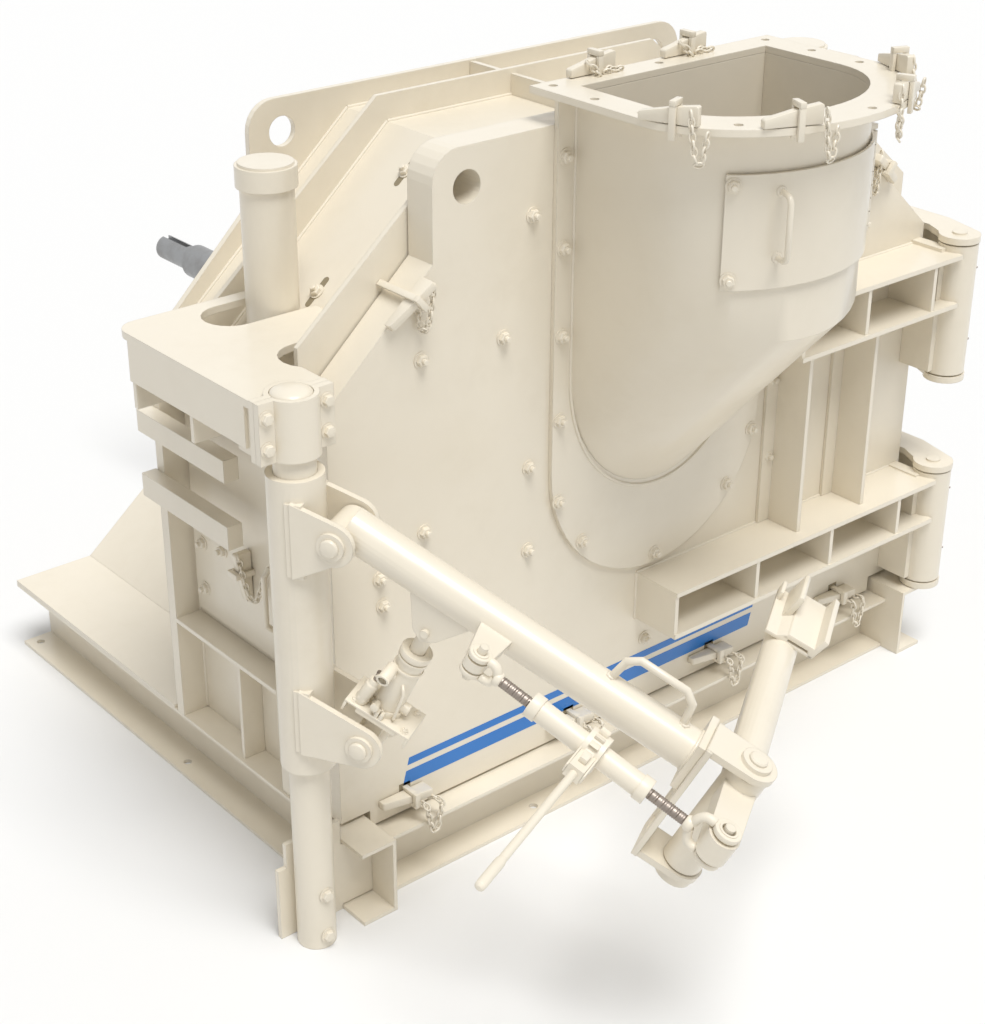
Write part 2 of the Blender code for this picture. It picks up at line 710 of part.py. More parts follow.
def door_and_chute():
    origin = (HINGE_X, HINGE_Y, 0.0)
    slab = prism(door_outline(), "y", DOOR_FACE, DOOR_BACK)
    hole = prism(feed_hole_outline(CHUTE_STEEL), "y", DOOR_FACE - 0.1, DOOR_BACK + 0.1)
    lugs = [
        disc((x, DOOR_TOP - 0.113), "y", DOOR_FACE - 0.1, DOOR_BACK + 0.1, LUG_HOLE + 0.0015, 24)
        for x in (0.118 - DOOR_LUG_X, DOOR_LUG_X - 0.118)
    ]
    part("door_panel", [slab], [hole, *lugs], origin=origin)
    flange_front = DOOR_FACE - SEAT - FLANGE_STEEL
    lower = arc((0.0, FLANGE_ARC_Z), (FLANGE_HALF, FLANGE_HALF), 180.0, 360.0, 28)
    outline = [(-FLANGE_HALF, CHUTE_TOP - SEAT), *lower, (FLANGE_HALF, CHUTE_TOP - SEAT)]
    hole = prism(feed_hole_outline(CHUTE_STEEL), "y", -0.2, 0.2)
    part(
        "chute_mounting_flange",
        [prism(outline, "y", flange_front, DOOR_FACE - SEAT)],
        [hole],
        origin=origin,
    )
    back = flange_front - SEAT
    outer = chute_solid(0.0, CHUTE_TOP - SEAT, back, 0.0)
    inner = chute_solid(CHUTE_STEEL, CHUTE_TOP + 0.1, back + 0.05, -CHUTE_STEEL)
    manhole = hatch_ring((-0.05, 0.05), 22.0, 56.0, HATCH_LOW + 0.05, HATCH_HIGH - 0.05)
    x, y = HATCH_HINGE
    pin = bar([(x, y, HATCH_LOW + 0.005), (x, y, HATCH_HIGH - 0.005)], HATCH_PIN_RADIUS, 16)
    lugs = [
        box((x - 0.05, y - 0.009, z), (x + 0.009, y + 0.009, z + 0.014))
        for z in (HATCH_LOW + 0.003, HATCH_HIGH - 0.017)
    ]
    part("feed_chute", [outer, *lugs, pin], [inner, manhole], origin=origin)
    half = CHUTE_HALF + TOP_FLANGE_LIP
    rim_back = DOOR_FACE + 0.075
    front = arc((0.0, CHUTE_STRAIGHT - 0.05), (half, CHUTE_BULGE + 0.06), 180.0, 360.0, 32)
    rim_outline = [(-half, rim_back), *front, (half, rim_back)]
    rim = prism(rim_outline, "z", CHUTE_TOP, CHUTE_TOP + TOP_FLANGE_STEEL)
    throat_plan = chute_plan(CHUTE_STEEL, flange_front)
    throat = prism(throat_plan, "z", CHUTE_TOP - 0.1, CHUTE_TOP + 0.1)
    part("chute_top_flange", [rim], [throat], origin=origin)


def chute_hatch():
    x0, y0 = HATCH_HINGE
    slab = hatch_ring((RUN_GAP, RUN_GAP + 0.01), 14.0, 62.0, HATCH_LOW, HATCH_HIGH)
    ends = [(x0, y0, HATCH_LOW + 0.022), (x0, y0, HATCH_HIGH - 0.022)]
    knuckle = bar(ends, HATCH_KNUCKLE_RADIUS, 16)
    corners = [(-0.056, -0.024), (-0.046, -0.034), (0.002, -0.008), (-0.006, 0.002)]
    tab_outline = [(x0 + x, y0 + y) for x, y in corners]
    tab = prism(tab_outline, "z", HATCH_LOW + 0.03, HATCH_HIGH - 0.03)
    bore_ends = [(x0, y0, HATCH_LOW - 0.05), (x0, y0, HATCH_HIGH + 0.03)]
    bore = bar(bore_ends, HATCH_PIN_RADIUS + PIN_PLAY, 16)
    x = x0 - 0.222
    y = CHUTE_FRONT + 0.03
    low = HATCH_LOW + 0.1
    high = HATCH_HIGH - 0.06
    loop = [
        (x, y + 0.005, low),
        (x + 0.01, y - 0.055, low),
        (x + 0.014, y - 0.07, low + 0.015),
        (x + 0.014, y - 0.07, high - 0.015),
        (x + 0.01, y - 0.055, high),
        (x, y + 0.005, high),
    ]
    pieces = [slab, tab, knuckle, bar(loop, HANDLE_RADIUS, 12)]
    part("chute_hatch", pieces, [bore], origin=(x0, y0, (HATCH_LOW + HATCH_HIGH) / 2.0))


def hinge_arm(name, span, left, dividers, barrel):
    """Ladder arm welded to the door with the hinge barrel at its right end."""
    low, high = span
    origin = (HINGE_X, HINGE_Y, barrel[0])
    front = ARM_FRONT
    steel = ARM_STEEL
    right = HINGE_X - 0.05
    back = DOOR_FACE - SEAT
    pieces = [
        box((left, front, high - steel), (right, back, high)),
        box((left, front, low), (right, back, low + steel)),
    ]
    for x in dividers:
        pieces.append(box((x, front + 0.006, low + 0.005), (x + steel, back, high - 0.005)))
    pieces.append(disc((HINGE_X, HINGE_Y), "z", barrel[0], barrel[1], BARREL_RADIUS))
    web = box((HINGE_X - 0.09, HINGE_Y, barrel[0] + 0.01), (HINGE_X - 0.045, back, barrel[1] - 0.01))
    pieces.append(web)
    bore = disc((HINGE_X, HINGE_Y), "z", barrel[0] - 0.1, barrel[1] + 0.1, PIN_RADIUS + PIN_PLAY, 24)
    part(name, pieces, [bore], origin=origin)


def door_ribs():
    low = LOWER_ARM[1] + SEAT
    high = UPPER_ARM[0] - SEAT
    back = DOOR_FACE - SEAT
    inner = FLANGE_HALF + 0.045 + RIB_PAD
    for name, x in (("door_rib_inner", inner), ("door_rib_outer", HINGE_X - 0.407)):
        rib = box((x, HINGE_Y - 0.015, low), (x + ARM_STEEL, back, high))
        pad = box((x - RIB_PAD, back - 0.012, low), (x + ARM_STEEL + RIB_PAD, back, high))
        part(name, [rib, pad], origin=(HINGE_X, HINGE_Y, low))


def hinge_bracket(name, barrel):
    """Pads above and below a barrel, the pin through them and the plate that holds them."""
    top = barrel[1] + RUN_GAP
    low = barrel[0] - RUN_GAP
    wall = SHELL_HALF + SEAT
    nose_radius = BARREL_RADIUS + 0.003
    nose = arc((HINGE_X, HINGE_Y), (nose_radius, nose_radius), 120.0, 335.0, 16)
    right = PAD_REACH
    left = HALF_WIDTH - 0.008
    front = HINGE_Y + 0.125
    back = POST_FRONT - 0.005
    foot = low - PAD_STEEL
    head = top + PAD_STEEL
    outline = [*nose, (right, front), (right, back), (left, back), (left, front)]
    pieces = [
        prism(outline, "z", top, head),
        prism(outline, "z", foot, low),
        box((right - 0.018, front + 0.004, foot + 0.004), (right - 0.004, back - 0.004, head - 0.004)),
        box((wall, POST_FRONT - 0.02, foot + 0.002), (right - 0.002, POST_FRONT - 0.0005, head - 0.002)),
        disc((HINGE_X, HINGE_Y), "z", low - PAD_STEEL - 0.002, top + PAD_STEEL + 0.006, PIN_RADIUS, 24),
    ]
    part(name, pieces)


def rotor():
    origin = (0.0, CAGE_BACK - 0.13, SHAFT_Z)
    centre = (0.0, SHAFT_Z)
    shaft = disc(centre, "y", CAGE_BACK - 0.07, SHAFT_TIP, SHAFT_RADIUS)
    collar = disc(centre, "y", SHAFT_TIP - 0.43, SHAFT_TIP - 0.23, SHAFT_RADIUS + 0.018)
    key_floor = SHAFT_Z + SHAFT_RADIUS - 0.015
    keyway = box((-0.0125, SHAFT_TIP - 0.18, key_floor), (0.0125, SHAFT_TIP + 0.1, key_floor + 0.065))
    part("rotor_shaft", [shaft, collar], [keyway], finish="bare_steel", origin=origin)
    disc_front = CAGE_BACK - CAGE_DISC
    pieces = [
        disc(centre, "y", disc_front, CAGE_BACK, CAGE_RADIUS, 48),
        disc(centre, "y", CAGE_BACK - 0.13, CAGE_BACK + 0.07, SHAFT_RADIUS + 0.08),
    ]
    cuts = [disc(centre, "y", CAGE_BACK - 0.23, CAGE_BACK + 0.17, SHAFT_RADIUS + SEAT)]
    for radius, bars, offset in ((CAGE_RADIUS - 0.22, 14, 0.0), (CAGE_RADIUS - 0.05, 20, 0.5)):
        for k in range(bars):
            angle = math.tau * (k + offset) / bars
            x = radius * math.cos(angle)
            z = SHAFT_Z + radius * math.sin(angle)
            ends = (CAGE_FRONT + 0.015, disc_front + 0.01)
            pieces.append(disc((x, z), "y", *ends, CAGE_BAR_RADIUS, 10))
        pieces.append(cage_ring(radius))
    part("cage_rotor", pieces, cuts, finish="cast_liner", origin=origin)


def cage_ring(radius):
    """Front ring that joins a row of bars, as a piece."""
    centre = (0.0, SHAFT_Z)
    ring = disc(centre, "y", CAGE_FRONT, CAGE_FRONT + CAGE_DISC, radius + 0.04, 48)
    middle = disc(centre, "y", CAGE_FRONT - 0.12, CAGE_FRONT + 0.18, radius - 0.04, 48)
    mesh = combined([ring], [middle])
    obj = bpy.data.objects.new("piece", mesh)
    bpy.context.scene.collection.objects.link(obj)
    return obj


def bearing_cartridge():
    front = SHELL_REAR + REAR_PLATE_STEEL + 0.03
    foot = PEDESTAL_TOP + SEAT
    pieces = [
        disc((0.0, SHAFT_Z), "y", front, BASE_REAR + 0.06, 0.13),
        disc((0.0, SHAFT_Z), "y", front + 0.02, front + 0.1, 0.165),
        disc((0.0, SHAFT_Z), "y", BASE_REAR - 0.08, BASE_REAR + 0.02, 0.165),
        box((-0.26, front + 0.01, foot), (0.26, BASE_REAR - 0.02, foot + 0.03)),
    ]
    for y in (front + 0.04, BASE_REAR - 0.2):
        pieces.append(box((-0.15, y, foot + 0.01), (0.15, y + 0.12, SHAFT_Z)))
    bore = disc((0.0, SHAFT_Z), "y", 0.5, 2.5, SHAFT_RADIUS + PIN_PLAY)
    part("bearing_cartridge", pieces, [bore])


def heading():
    return Vector((math.cos(JIB_HEADING), math.sin(JIB_HEADING), 0.0))


def across():
    ahead = heading()
    return Vector((-ahead.y, ahead.x, 0.0))


def plane_frame(reach, height):
    """Matrix of the upright plane of the jib: local x ahead, y across, z up."""
    ahead = heading()
    side = across()
    place = Vector((MAST_X, MAST_Y, height)) + ahead * reach
    rows = [[ahead[i], side[i], 1.0 if i == 2 else 0.0, place[i]] for i in range(3)]
    return Matrix([*rows, [0.0, 0.0, 0.0, 1.0]])


def boom_frame():
    """Matrix of the boom: local x down along it, y across, z above it, from the upper pin."""
    return plane_frame(BOOM_REACH, BOOM_PIN_Z) @ Matrix.Rotation(BOOM_PITCH, 4, "Y")


def ear(frame, reach, height, low_step, high_step):
    """Two ear plates from the sleeve to a pin, with the pin and its collars."""
    pieces = []
    inner = EAR_GAP
    outer = EAR_GAP + EAR_STEEL
    nose = arc((reach, height), (EAR_RADIUS, EAR_RADIUS), -90.0, 70.0, 10)
    outline = [(0.02, height - low_step), *nose, (0.02, height + high_step)]
    for low, high in ((inner, outer), (-outer, -inner)):
        pieces.append(moved(prism(outline, "y", low, high), frame))
    pin = disc((reach, height), "y", -outer - 0.012, outer + 0.012, PIN_RADIUS, 24)
    pieces.append(moved(pin, frame))
    for low, high in ((outer - 0.004, outer + 0.01), (-outer - 0.01, -outer + 0.004)):
        pieces.append(moved(disc((reach, height), "y", low, high, PIN_RADIUS + PIN_COLLAR, 24), frame))
    return pieces


def jib_sleeve():
    frame = plane_frame(0.0, 0.0)
    tube = disc((MAST_X, MAST_Y), "z", SLEEVE_LOW, SLEEVE_TOP, SLEEVE_RADIUS)
    pieces = [tube]
    pieces += ear(frame, BOOM_REACH, BOOM_PIN_Z, 0.12, 0.1)
    pieces += ear(frame, JACK_REACH, JACK_PIN_Z, 0.06, 0.14)
    cheeks = []
    for height, low_step, high_step in ((BOOM_PIN_Z, 0.12, 0.1), (JACK_PIN_Z, 0.06, 0.14)):
        for side in (-1.0, 1.0):
            ends = sorted((side * (EAR_GAP - 0.02), side * (EAR_GAP + 0.014)))
            low = (0.004, ends[0], height - low_step + 0.004)
            cheeks.append(box(low, (0.052, ends[1], height + high_step - 0.004)))
    pieces += [moved(cheek, frame) for cheek in cheeks]
    bore = disc((MAST_X, MAST_Y), "z", SLEEVE_LOW - 0.32, SLEEVE_TOP + 0.19, MAST_RADIUS + PIN_PLAY)
    part("jib_sleeve", pieces, [bore], origin=(MAST_X, MAST_Y, SLEEVE_LOW))


def boom():
    frame = boom_frame()
    lift = BOOM_LIFT
    tube = bar([(0.005, 0.0, lift), (BOOM_END, 0.0, lift)], BOOM_RADIUS, 32)
    gap = EAR_GAP - RUN_GAP
    crosshead = disc((0.0, 0.0), "y", -gap, gap, CROSSHEAD_RADIUS)
    end_plate = box(
        (BOOM_END - 0.004, -0.075, lift - 0.074), (BOOM_END + END_PLATE_STEEL, 0.075, lift + 0.076)
    )
    lug = prism(
        [
            (LUG[0] - 0.05, -0.03),
            (LUG[0] - 0.03, LUG[1]),
            *arc(LUG, (0.03, 0.03), 180.0, 360.0, 10),
            (LUG[0] + 0.05, -0.03),
        ],
        "z",
        lift - LUG_HALF,
        lift + LUG_HALF,
    )
    handle = bar(
        [
            (BOOM_END - 0.277, 0.0, lift + 0.045),
            (BOOM_END - 0.265, 0.0, lift + 0.12),
            (BOOM_END - 0.235, 0.0, lift + 0.145),
            (BOOM_END - 0.1, 0.0, lift + 0.145),
            (BOOM_END - 0.07, 0.0, lift + 0.12),
            (BOOM_END - 0.058, 0.0, lift + 0.045),
        ],
        0.011,
        12,
    )
    lug_pin = disc(LUG, "z", lift - 0.055, lift + 0.055, SMALL_PIN_RADIUS, 20)
    pieces = [tube, crosshead, end_plate, lug, handle, lug_pin]
    for low, high in ((GUSSET_GAP, GUSSET_GAP + 0.012), (-GUSSET_GAP - 0.012, -GUSSET_GAP)):
        gusset = [
            (0.22, 0.0),
            (GUSSET_PIN[0] - 0.035, GUSSET_PIN[1] - 0.01),
            (GUSSET_PIN[0], GUSSET_PIN[1] - 0.035),
            (GUSSET_PIN[0] + 0.035, GUSSET_PIN[1] - 0.01),
            (0.42, 0.0),
        ]
        pieces.append(prism(gusset, "y", low, high))
    pieces.append(disc(GUSSET_PIN, "y", -0.054, 0.054, SMALL_PIN_RADIUS, 20))
    pieces = [moved(item, frame) for item in pieces]
    bore = moved(disc((0.0, 0.0), "y", -0.2, 0.2, PIN_RADIUS + PIN_PLAY, 24), frame)
    part("jib_boom", pieces, [bore], origin=tuple(frame.translation))


def knuckle_bracket():
    frame = boom_frame()
    start = BOOM_END + END_PLATE_STEEL + SEAT
    half = KNUCKLE_PLATE
    width = half + 0.006
    top = KNUCKLE_TOP
    low = KNUCKLE_LOW
    nose = arc(KNUCKLE, (half, half), -80.0, 80.0, 12)
    plate = [(start, KNUCKLE[1] - half), *nose, (start, KNUCKLE[1] + half)]
    pieces = [
        prism(plate, "z", top, top + KNUCKLE_STEEL),
        prism(plate, "z", low - KNUCKLE_STEEL, low),
        disc(KNUCKLE, "z", low - 0.045, low - 0.015, KNUCKLE_RADIUS),
        disc(KNUCKLE, "z", low - 0.01, top + 0.034, PIN_RADIUS, 24),
        disc(KNUCKLE, "z", top + 0.016, top + 0.032, 0.042, 24),
    ]
    back = box((start, KNUCKLE[1] - width, low - 0.018), (start + 0.016, KNUCKLE[1] + width, top + 0.018))
    pieces.append(back)
    window = box(
        (start - 0.1, KNUCKLE[1] - 0.035, low + 0.045), (start + 0.1, KNUCKLE[1] + 0.035, low + 0.165)
    )
    pieces = [moved(item, frame) for item in pieces]
    part("knuckle_bracket", pieces, [moved(window, frame)], origin=tuple(frame.translation))


def knuckle_origin():
    return boom_frame() @ Vector((KNUCKLE[0], KNUCKLE[1], BOOM_LIFT))


def bell_crank():
    frame = boom_frame()
    top = KNUCKLE_TOP - RUN_GAP
    low = KNUCKLE_LOW + RUN_GAP
    lift = BOOM_LIFT
    stick_end = (STICK_END[0] - 0.003, STICK_END[1] + 0.045, lift)
    pieces = [
        disc(KNUCKLE, "z", low, top, KNUCKLE_RADIUS),
        bar([(KNUCKLE[0], KNUCKLE[1] + 0.02, lift), stick_end], STICK_RADIUS, 28),
    ]
    lever = [
        (KNUCKLE[0] - 0.045, KNUCKLE[1]),
        (LEVER_PIN[0] - 0.042, LEVER_PIN[1]),
        *arc(LEVER_PIN, (0.042, 0.042), 180.0, 360.0, 12),
        (KNUCKLE[0] + 0.045, KNUCKLE[1]),
    ]
    pieces.append(prism(lever, "z", lift - LEVER_HALF, lift + LEVER_HALF))
    pieces.append(disc(LEVER_PIN, "z", lift - 0.066, lift + 0.066, LEVER_PIN_RADIUS, 20))
    bore = disc(KNUCKLE, "z", low - 0.1, top + 0.1, PIN_RADIUS + PIN_PLAY, 24)
    grade = SADDLE_RISE / (SADDLE_HALF - SADDLE_FLAT)
    flat = SADDLE_FLAT + SEAT
    cope = [(-flat, -SEAT), (flat, -SEAT), (flat + 0.1, 0.1 * grade), (-flat - 0.1, 0.1 * grade)]
    cope = prism([(STICK_END[0] + x, STICK_END[1] + y) for x, y in cope], "z", lift - 0.2, lift + 0.2)
    part(
        "bell_crank",
        [moved(item, frame) for item in pieces],
        [moved(bore, frame), moved(cope, frame)],
        origin=tuple(knuckle_origin()),
    )


def saddle_outline():
    """V of the cradle, from the flat that seats on the stick, as (x, y) from that flat."""
    inner = SADDLE_HALF - 0.014
    top = SADDLE_RISE + 0.023
    half = [(SADDLE_FLAT, 0.0), (SADDLE_HALF, SADDLE_RISE), (SADDLE_HALF, top), (inner, top)]
    half.append((inner, SADDLE_RISE + 0.005))
    return half + [(0.0, 0.0075)] + mirrored(half)


def saddle():
    frame = boom_frame()
    outline = [(STICK_END[0] + x, STICK_END[1] + y) for x, y in saddle_outline()]
    reach = SADDLE_LENGTH / 2.0
    body = moved(prism(outline, "z", BOOM_LIFT - reach, BOOM_LIFT + reach), frame)
    part("cradle_saddle", [body], origin=tuple(knuckle_origin()))


def turnbuckle_frame():
    """Matrix with local x from the boom's lug pin to the lever pin, z along the pins."""
    frame = boom_frame()
    run = math.hypot(LEVER_PIN[0] - LUG[0], LEVER_PIN[1] - LUG[1])
    angle = math.atan2(LEVER_PIN[1] - LUG[1], LEVER_PIN[0] - LUG[0])
    place = Matrix.Translation((LUG[0], LUG[1], BOOM_LIFT))
    return frame @ place @ Matrix.Rotation(angle, 4, "Z"), run


def fork(pin_x, direction, inner, outer, radius, hole, neck):
    """Clevis round a pin at pin_x: two cheeks and the block that joins them."""
    pieces = []
    for low, high in ((inner, outer), (-outer, -inner)):
        cheek = [
            (pin_x, -radius),
            (pin_x + direction * neck, -radius * 0.8),
            (pin_x + direction * neck, radius * 0.8),
            (pin_x, radius),
        ]
        round_end = arc((pin_x, 0.0), (radius, radius), 90.0, 270.0, 10)
        if direction < 0:
            round_end = arc((pin_x, 0.0), (radius, radius), 90.0, -90.0, 10)
        outline = [*round_end, *cheek[1:3]]
        pieces.append(prism(outline, "z", low, high))
    ends = sorted((pin_x + direction * (neck - 0.014), pin_x + direction * (neck + 0.012)))
    pieces.append(box((ends[0], -radius * 0.8, -outer), (ends[1], radius * 0.8, outer)))
    holes = [disc((pin_x, 0.0), "z", -outer - 0.1, outer + 0.1, hole, 20)]
    return pieces, holes


def turnbuckle():
    frame, run = turnbuckle_frame()
    lug_point = tuple(frame.translation)
    inner = LUG_HALF + 0.0065
    pieces, holes = fork(0.0, 1.0, inner, inner + 0.013, 0.03, SMALL_PIN_RADIUS + PIN_PLAY, 0.062)
    pieces.append(bar([(0.07, 0.0, 0.0), (0.31, 0.0, 0.0)], STUD_RADIUS, 20))
    part(
        "turnbuckle_near_clevis",
        [moved(item, frame) for item in pieces],
        [moved(item, frame) for item in holes],
        finish="bare_steel",
        origin=lug_point,
    )
    body = bar([(0.17, 0.0, 0.0), (0.53, 0.0, 0.0)], BUCKLE_RADIUS, 28)
    bore = bar([(0.0, 0.0, 0.0), (0.9, 0.0, 0.0)], STUD_RADIUS + PIN_PLAY, 20)
    part("turnbuckle_body", [moved(body, frame)], [moved(bore, frame)], origin=lug_point)
    inner = LEVER_HALF + 0.0075
    pieces, holes = fork(run, -1.0, inner, inner + 0.0145, 0.036, LEVER_PIN_RADIUS + OPEN_PLAY, 0.075)
    pieces.append(bar([(0.42, 0.0, 0.0), (run - 0.08, 0.0, 0.0)], STUD_RADIUS, 20))
    part(
        "turnbuckle_far_clevis",
        [moved(item, frame) for item in pieces],
        [moved(item, frame) for item in holes],
        finish="bare_steel",
        origin=lug_point,
    )
    ratchet_x = 0.36
    ring = bar([(ratchet_x - 0.028, 0.0, 0.0), (ratchet_x + 0.028, 0.0, 0.0)], 0.052, 28)
    fist = box((ratchet_x - 0.022, -0.12, -0.02), (ratchet_x + 0.022, -0.035, 0.02))
    lever = bar([(ratchet_x, -0.1, 0.0), (ratchet_x, -0.63, 0.0)], 0.011, 14)
    hub = bar([(ratchet_x - 0.1, 0.0, 0.0), (ratchet_x + 0.1, 0.0, 0.0)], BUCKLE_RADIUS + SEAT, 28)
    part(
        "ratchet_handle",
        [moved(item, frame) for item in (ring, fist, lever)],
        [moved(hub, frame)],
        finish="galvanised",
        origin=lug_point,
    )


def jack_frame():
    """Matrix from the lower pin: local z along the jack, y across the jib."""
    boom_at = boom_frame()
    top = boom_at @ Vector((GUSSET_PIN[0], 0.0, GUSSET_PIN[1]))
    base = plane_frame(JACK_REACH, JACK_PIN_Z)
    local = base.inverted() @ top
    lean = math.atan2(local.x, local.z)
    return base @ Matrix.Rotation(lean, 4, "Y"), math.hypot(local.x, local.z)


def jack():
    frame, length = jack_frame()
    gap = EAR_GAP - RUN_GAP - 0.001
    origin = tuple(frame.translation)
    pieces = [
        disc((0.0, 0.0), "y", -gap, gap, 0.042, 24),
        box((-0.025, -0.045, 0.0), (0.025, 0.045, 0.085)),
        box((-0.062, -0.062, 0.078), (0.062, 0.062, 0.092)),
        bar([(0.0, 0.0, 0.085), (0.0, 0.0, 0.262)], JACK_RADIUS, 28),
        bar([(-0.06, 0.0, 0.13), (0.06, 0.0, 0.13)], 0.017, 16),
    ]
    cuts = [
        disc((0.0, 0.0), "y", -0.2, 0.2, PIN_RADIUS + PIN_PLAY, 24),
        bar([(0.0, 0.0, 0.12), (0.0, 0.0, 0.5)], RAM_RADIUS + PIN_PLAY, 24),
    ]
    part(
        "jack_body",
        [moved(item, frame) for item in pieces],
        [moved(item, frame) for item in cuts],
        origin=origin,
    )
    eye = GUSSET_GAP - RUN_GAP
    pieces = [
        bar([(0.0, 0.0, 0.16), (0.0, 0.0, length - 0.02)], RAM_RADIUS, 24),
        disc((0.0, length), "y", -eye, eye, 0.032, 24),
    ]
    hole = disc((0.0, length), "y", -0.1, 0.1, SMALL_PIN_RADIUS + OPEN_PLAY, 20)
    part(
        "jack_ram",
        [moved(item, frame) for item in pieces],
        [moved(hole, frame)],
        finish="bare_steel",
        origin=origin,
    )


def main():
    clear_scene()
    side_channel("side_channel_left", -1.0)
    side_channel("side_channel_right", 1.0)
    holes = [(x, CROSS_BACK - 0.062) for x in (-0.505, 0.512)]
    cross_channel("front_cross_channel", CROSS_BACK, CROSS_FLANGE, CROSS_HEIGHT, holes)
    cross_channel("rear_cross_channel", BASE_REAR, CHANNEL_FLANGE, CHANNEL_HEIGHT, ())
    pedestal_and_decks()
    housing_shell()
    housing_plates()
    for name, side in (("left", -1.0), ("right", 1.0)):
        vent_pipe("vent_pipe_" + name, side)
        side_frame("side_frame_" + name, side)
        side_panel("side_panel_" + name, side)
        latch_bar("upper_latch_bar_" + name, side, SIDE_TOP - 0.23, SIDE_TOP - 0.16)
        latch_bar("lower_latch_bar_" + name, side, SIDE_TOP - 0.445, SIDE_TOP - 0.37)
    bearing_cartridge()
    rotor()
    mast_head_bracket()
    mast_parts()
    hinge_bracket("upper_hinge_bracket", UPPER_BARREL)
    hinge_bracket("lower_hinge_bracket", LOWER_BARREL)
    door_and_chute()
    chute_hatch()
    left = FLANGE_HALF + 0.004
    hinge_arm("upper_hinge_arm", UPPER_ARM, left, (left, HINGE_X - 0.517, HINGE_X - 0.187), UPPER_BARREL)
    dividers = [HINGE_X - back for back in (1.327, 0.957, 0.597, 0.247)]
    hinge_arm("lower_hinge_arm", LOWER_ARM, dividers[0], dividers, LOWER_BARREL)
    door_ribs()
    jib_sleeve()
    boom()
    knuckle_bracket()
    bell_crank()
    saddle()
    turnbuckle()
    jack()


main()
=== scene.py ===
"""Dresses a cage mill crusher: gloss paint, steel, fasteners, wedge clamps, chains and threads."""

import json
import math

import bmesh
import bpy
from mathutils import Matrix, Vector

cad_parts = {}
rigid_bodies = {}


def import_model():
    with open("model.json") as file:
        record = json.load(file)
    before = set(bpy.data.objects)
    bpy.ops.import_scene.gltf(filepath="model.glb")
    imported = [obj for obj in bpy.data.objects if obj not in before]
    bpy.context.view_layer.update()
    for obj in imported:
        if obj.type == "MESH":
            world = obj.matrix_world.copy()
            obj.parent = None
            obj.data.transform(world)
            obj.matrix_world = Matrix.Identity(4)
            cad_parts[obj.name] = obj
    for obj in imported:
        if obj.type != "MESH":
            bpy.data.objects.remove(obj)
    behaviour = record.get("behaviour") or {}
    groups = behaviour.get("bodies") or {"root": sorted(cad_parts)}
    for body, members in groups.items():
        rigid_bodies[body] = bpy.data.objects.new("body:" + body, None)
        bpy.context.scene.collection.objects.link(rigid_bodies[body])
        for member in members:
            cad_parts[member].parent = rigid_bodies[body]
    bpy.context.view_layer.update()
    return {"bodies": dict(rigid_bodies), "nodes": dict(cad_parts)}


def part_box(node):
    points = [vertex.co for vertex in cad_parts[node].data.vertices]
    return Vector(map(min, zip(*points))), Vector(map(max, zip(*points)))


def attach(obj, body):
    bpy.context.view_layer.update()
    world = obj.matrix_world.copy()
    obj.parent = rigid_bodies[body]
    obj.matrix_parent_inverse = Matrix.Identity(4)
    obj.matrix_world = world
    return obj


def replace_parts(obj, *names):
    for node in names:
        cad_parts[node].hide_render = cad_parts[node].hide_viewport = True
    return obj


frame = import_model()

bl_info = {
    "name": "Cage mill crusher",
    "version": (1, 0, 0),
    "blender": (4, 5, 0),
    "location": "3D View > Sidebar > Crusher",
    "description": "Paint, fasteners, clamps and fittings of a cage mill crusher",
    "category": "Object",
}

UP = Vector((0.0, 0.0, 1.0))
OUT = Vector((0.0, -1.0, 0.0))
SIDES = (-1.0, 1.0)
DOOR_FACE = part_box("door_panel")[0].y
FLANGE_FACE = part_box("chute_mounting_flange")[0].y
CROSS_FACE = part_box("front_cross_channel")[0].y
RIM_LOW, RIM_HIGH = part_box("chute_top_flange")
HATCH_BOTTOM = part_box("chute_hatch")[0].z
HATCH_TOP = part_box("chute_hatch")[1].z
HINGE = Vector((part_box("upper_hinge_arm")[1].x - 0.067, -0.105, 0.0))
CHUTE_HALF = 0.38
CHUTE_STRAIGHT = -0.28
CHUTE_BULGE = 0.3
SHAFT_Z = 1.0
SHELL_HALF = 1.18
SHOULDER_Z = 1.53
ROOF_HALF = 0.525
ROOF_RISE = 0.575

MAST_LOW, MAST_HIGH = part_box("jib_mast")
MAST = Vector(((MAST_LOW.x + MAST_HIGH.x) / 2.0, (MAST_LOW.y + MAST_HIGH.y) / 2.0, 0.0))
MAST_RADIUS = 0.05715
HEADING = Vector((0.5, -math.sqrt(0.75), 0.0))
ACROSS = Vector((math.sqrt(0.75), 0.5, 0.0))
EAR_PIN = (0.135, 1.357)
JACK_PIN = (0.195, 0.757)
BOOM_FALL = 27.0
# Places from the boom's upper pin: along the boom, across it and above the pin. LIFT is the height
# of the boom's middle line, and of the turnbuckle and the stick.
LIFT = 0.024
GUSSET_PIN = (0.315, 0.0, -0.098)
LUG_PIN = (0.47, -0.19)
LEVER_PIN = (1.202, -0.268)
KNUCKLE_TOP = (1.19, -0.03, 0.1338)
STICK_X = 1.137
STICK_RADIUS = 0.0506
# Along the turnbuckle from the lug pin, and the radius of its studs under the thread.
RATCHET = 0.36
THREAD_CORE = 0.0136
# A fork's eyes: inner and outer face, radius, hole's radius and how far off the shank starts.
NEAR_FORK = (0.0205, 0.0335, 0.03, 0.0126, 0.062)
FAR_FORK = (0.0415, 0.056, 0.036, 0.019, 0.075)

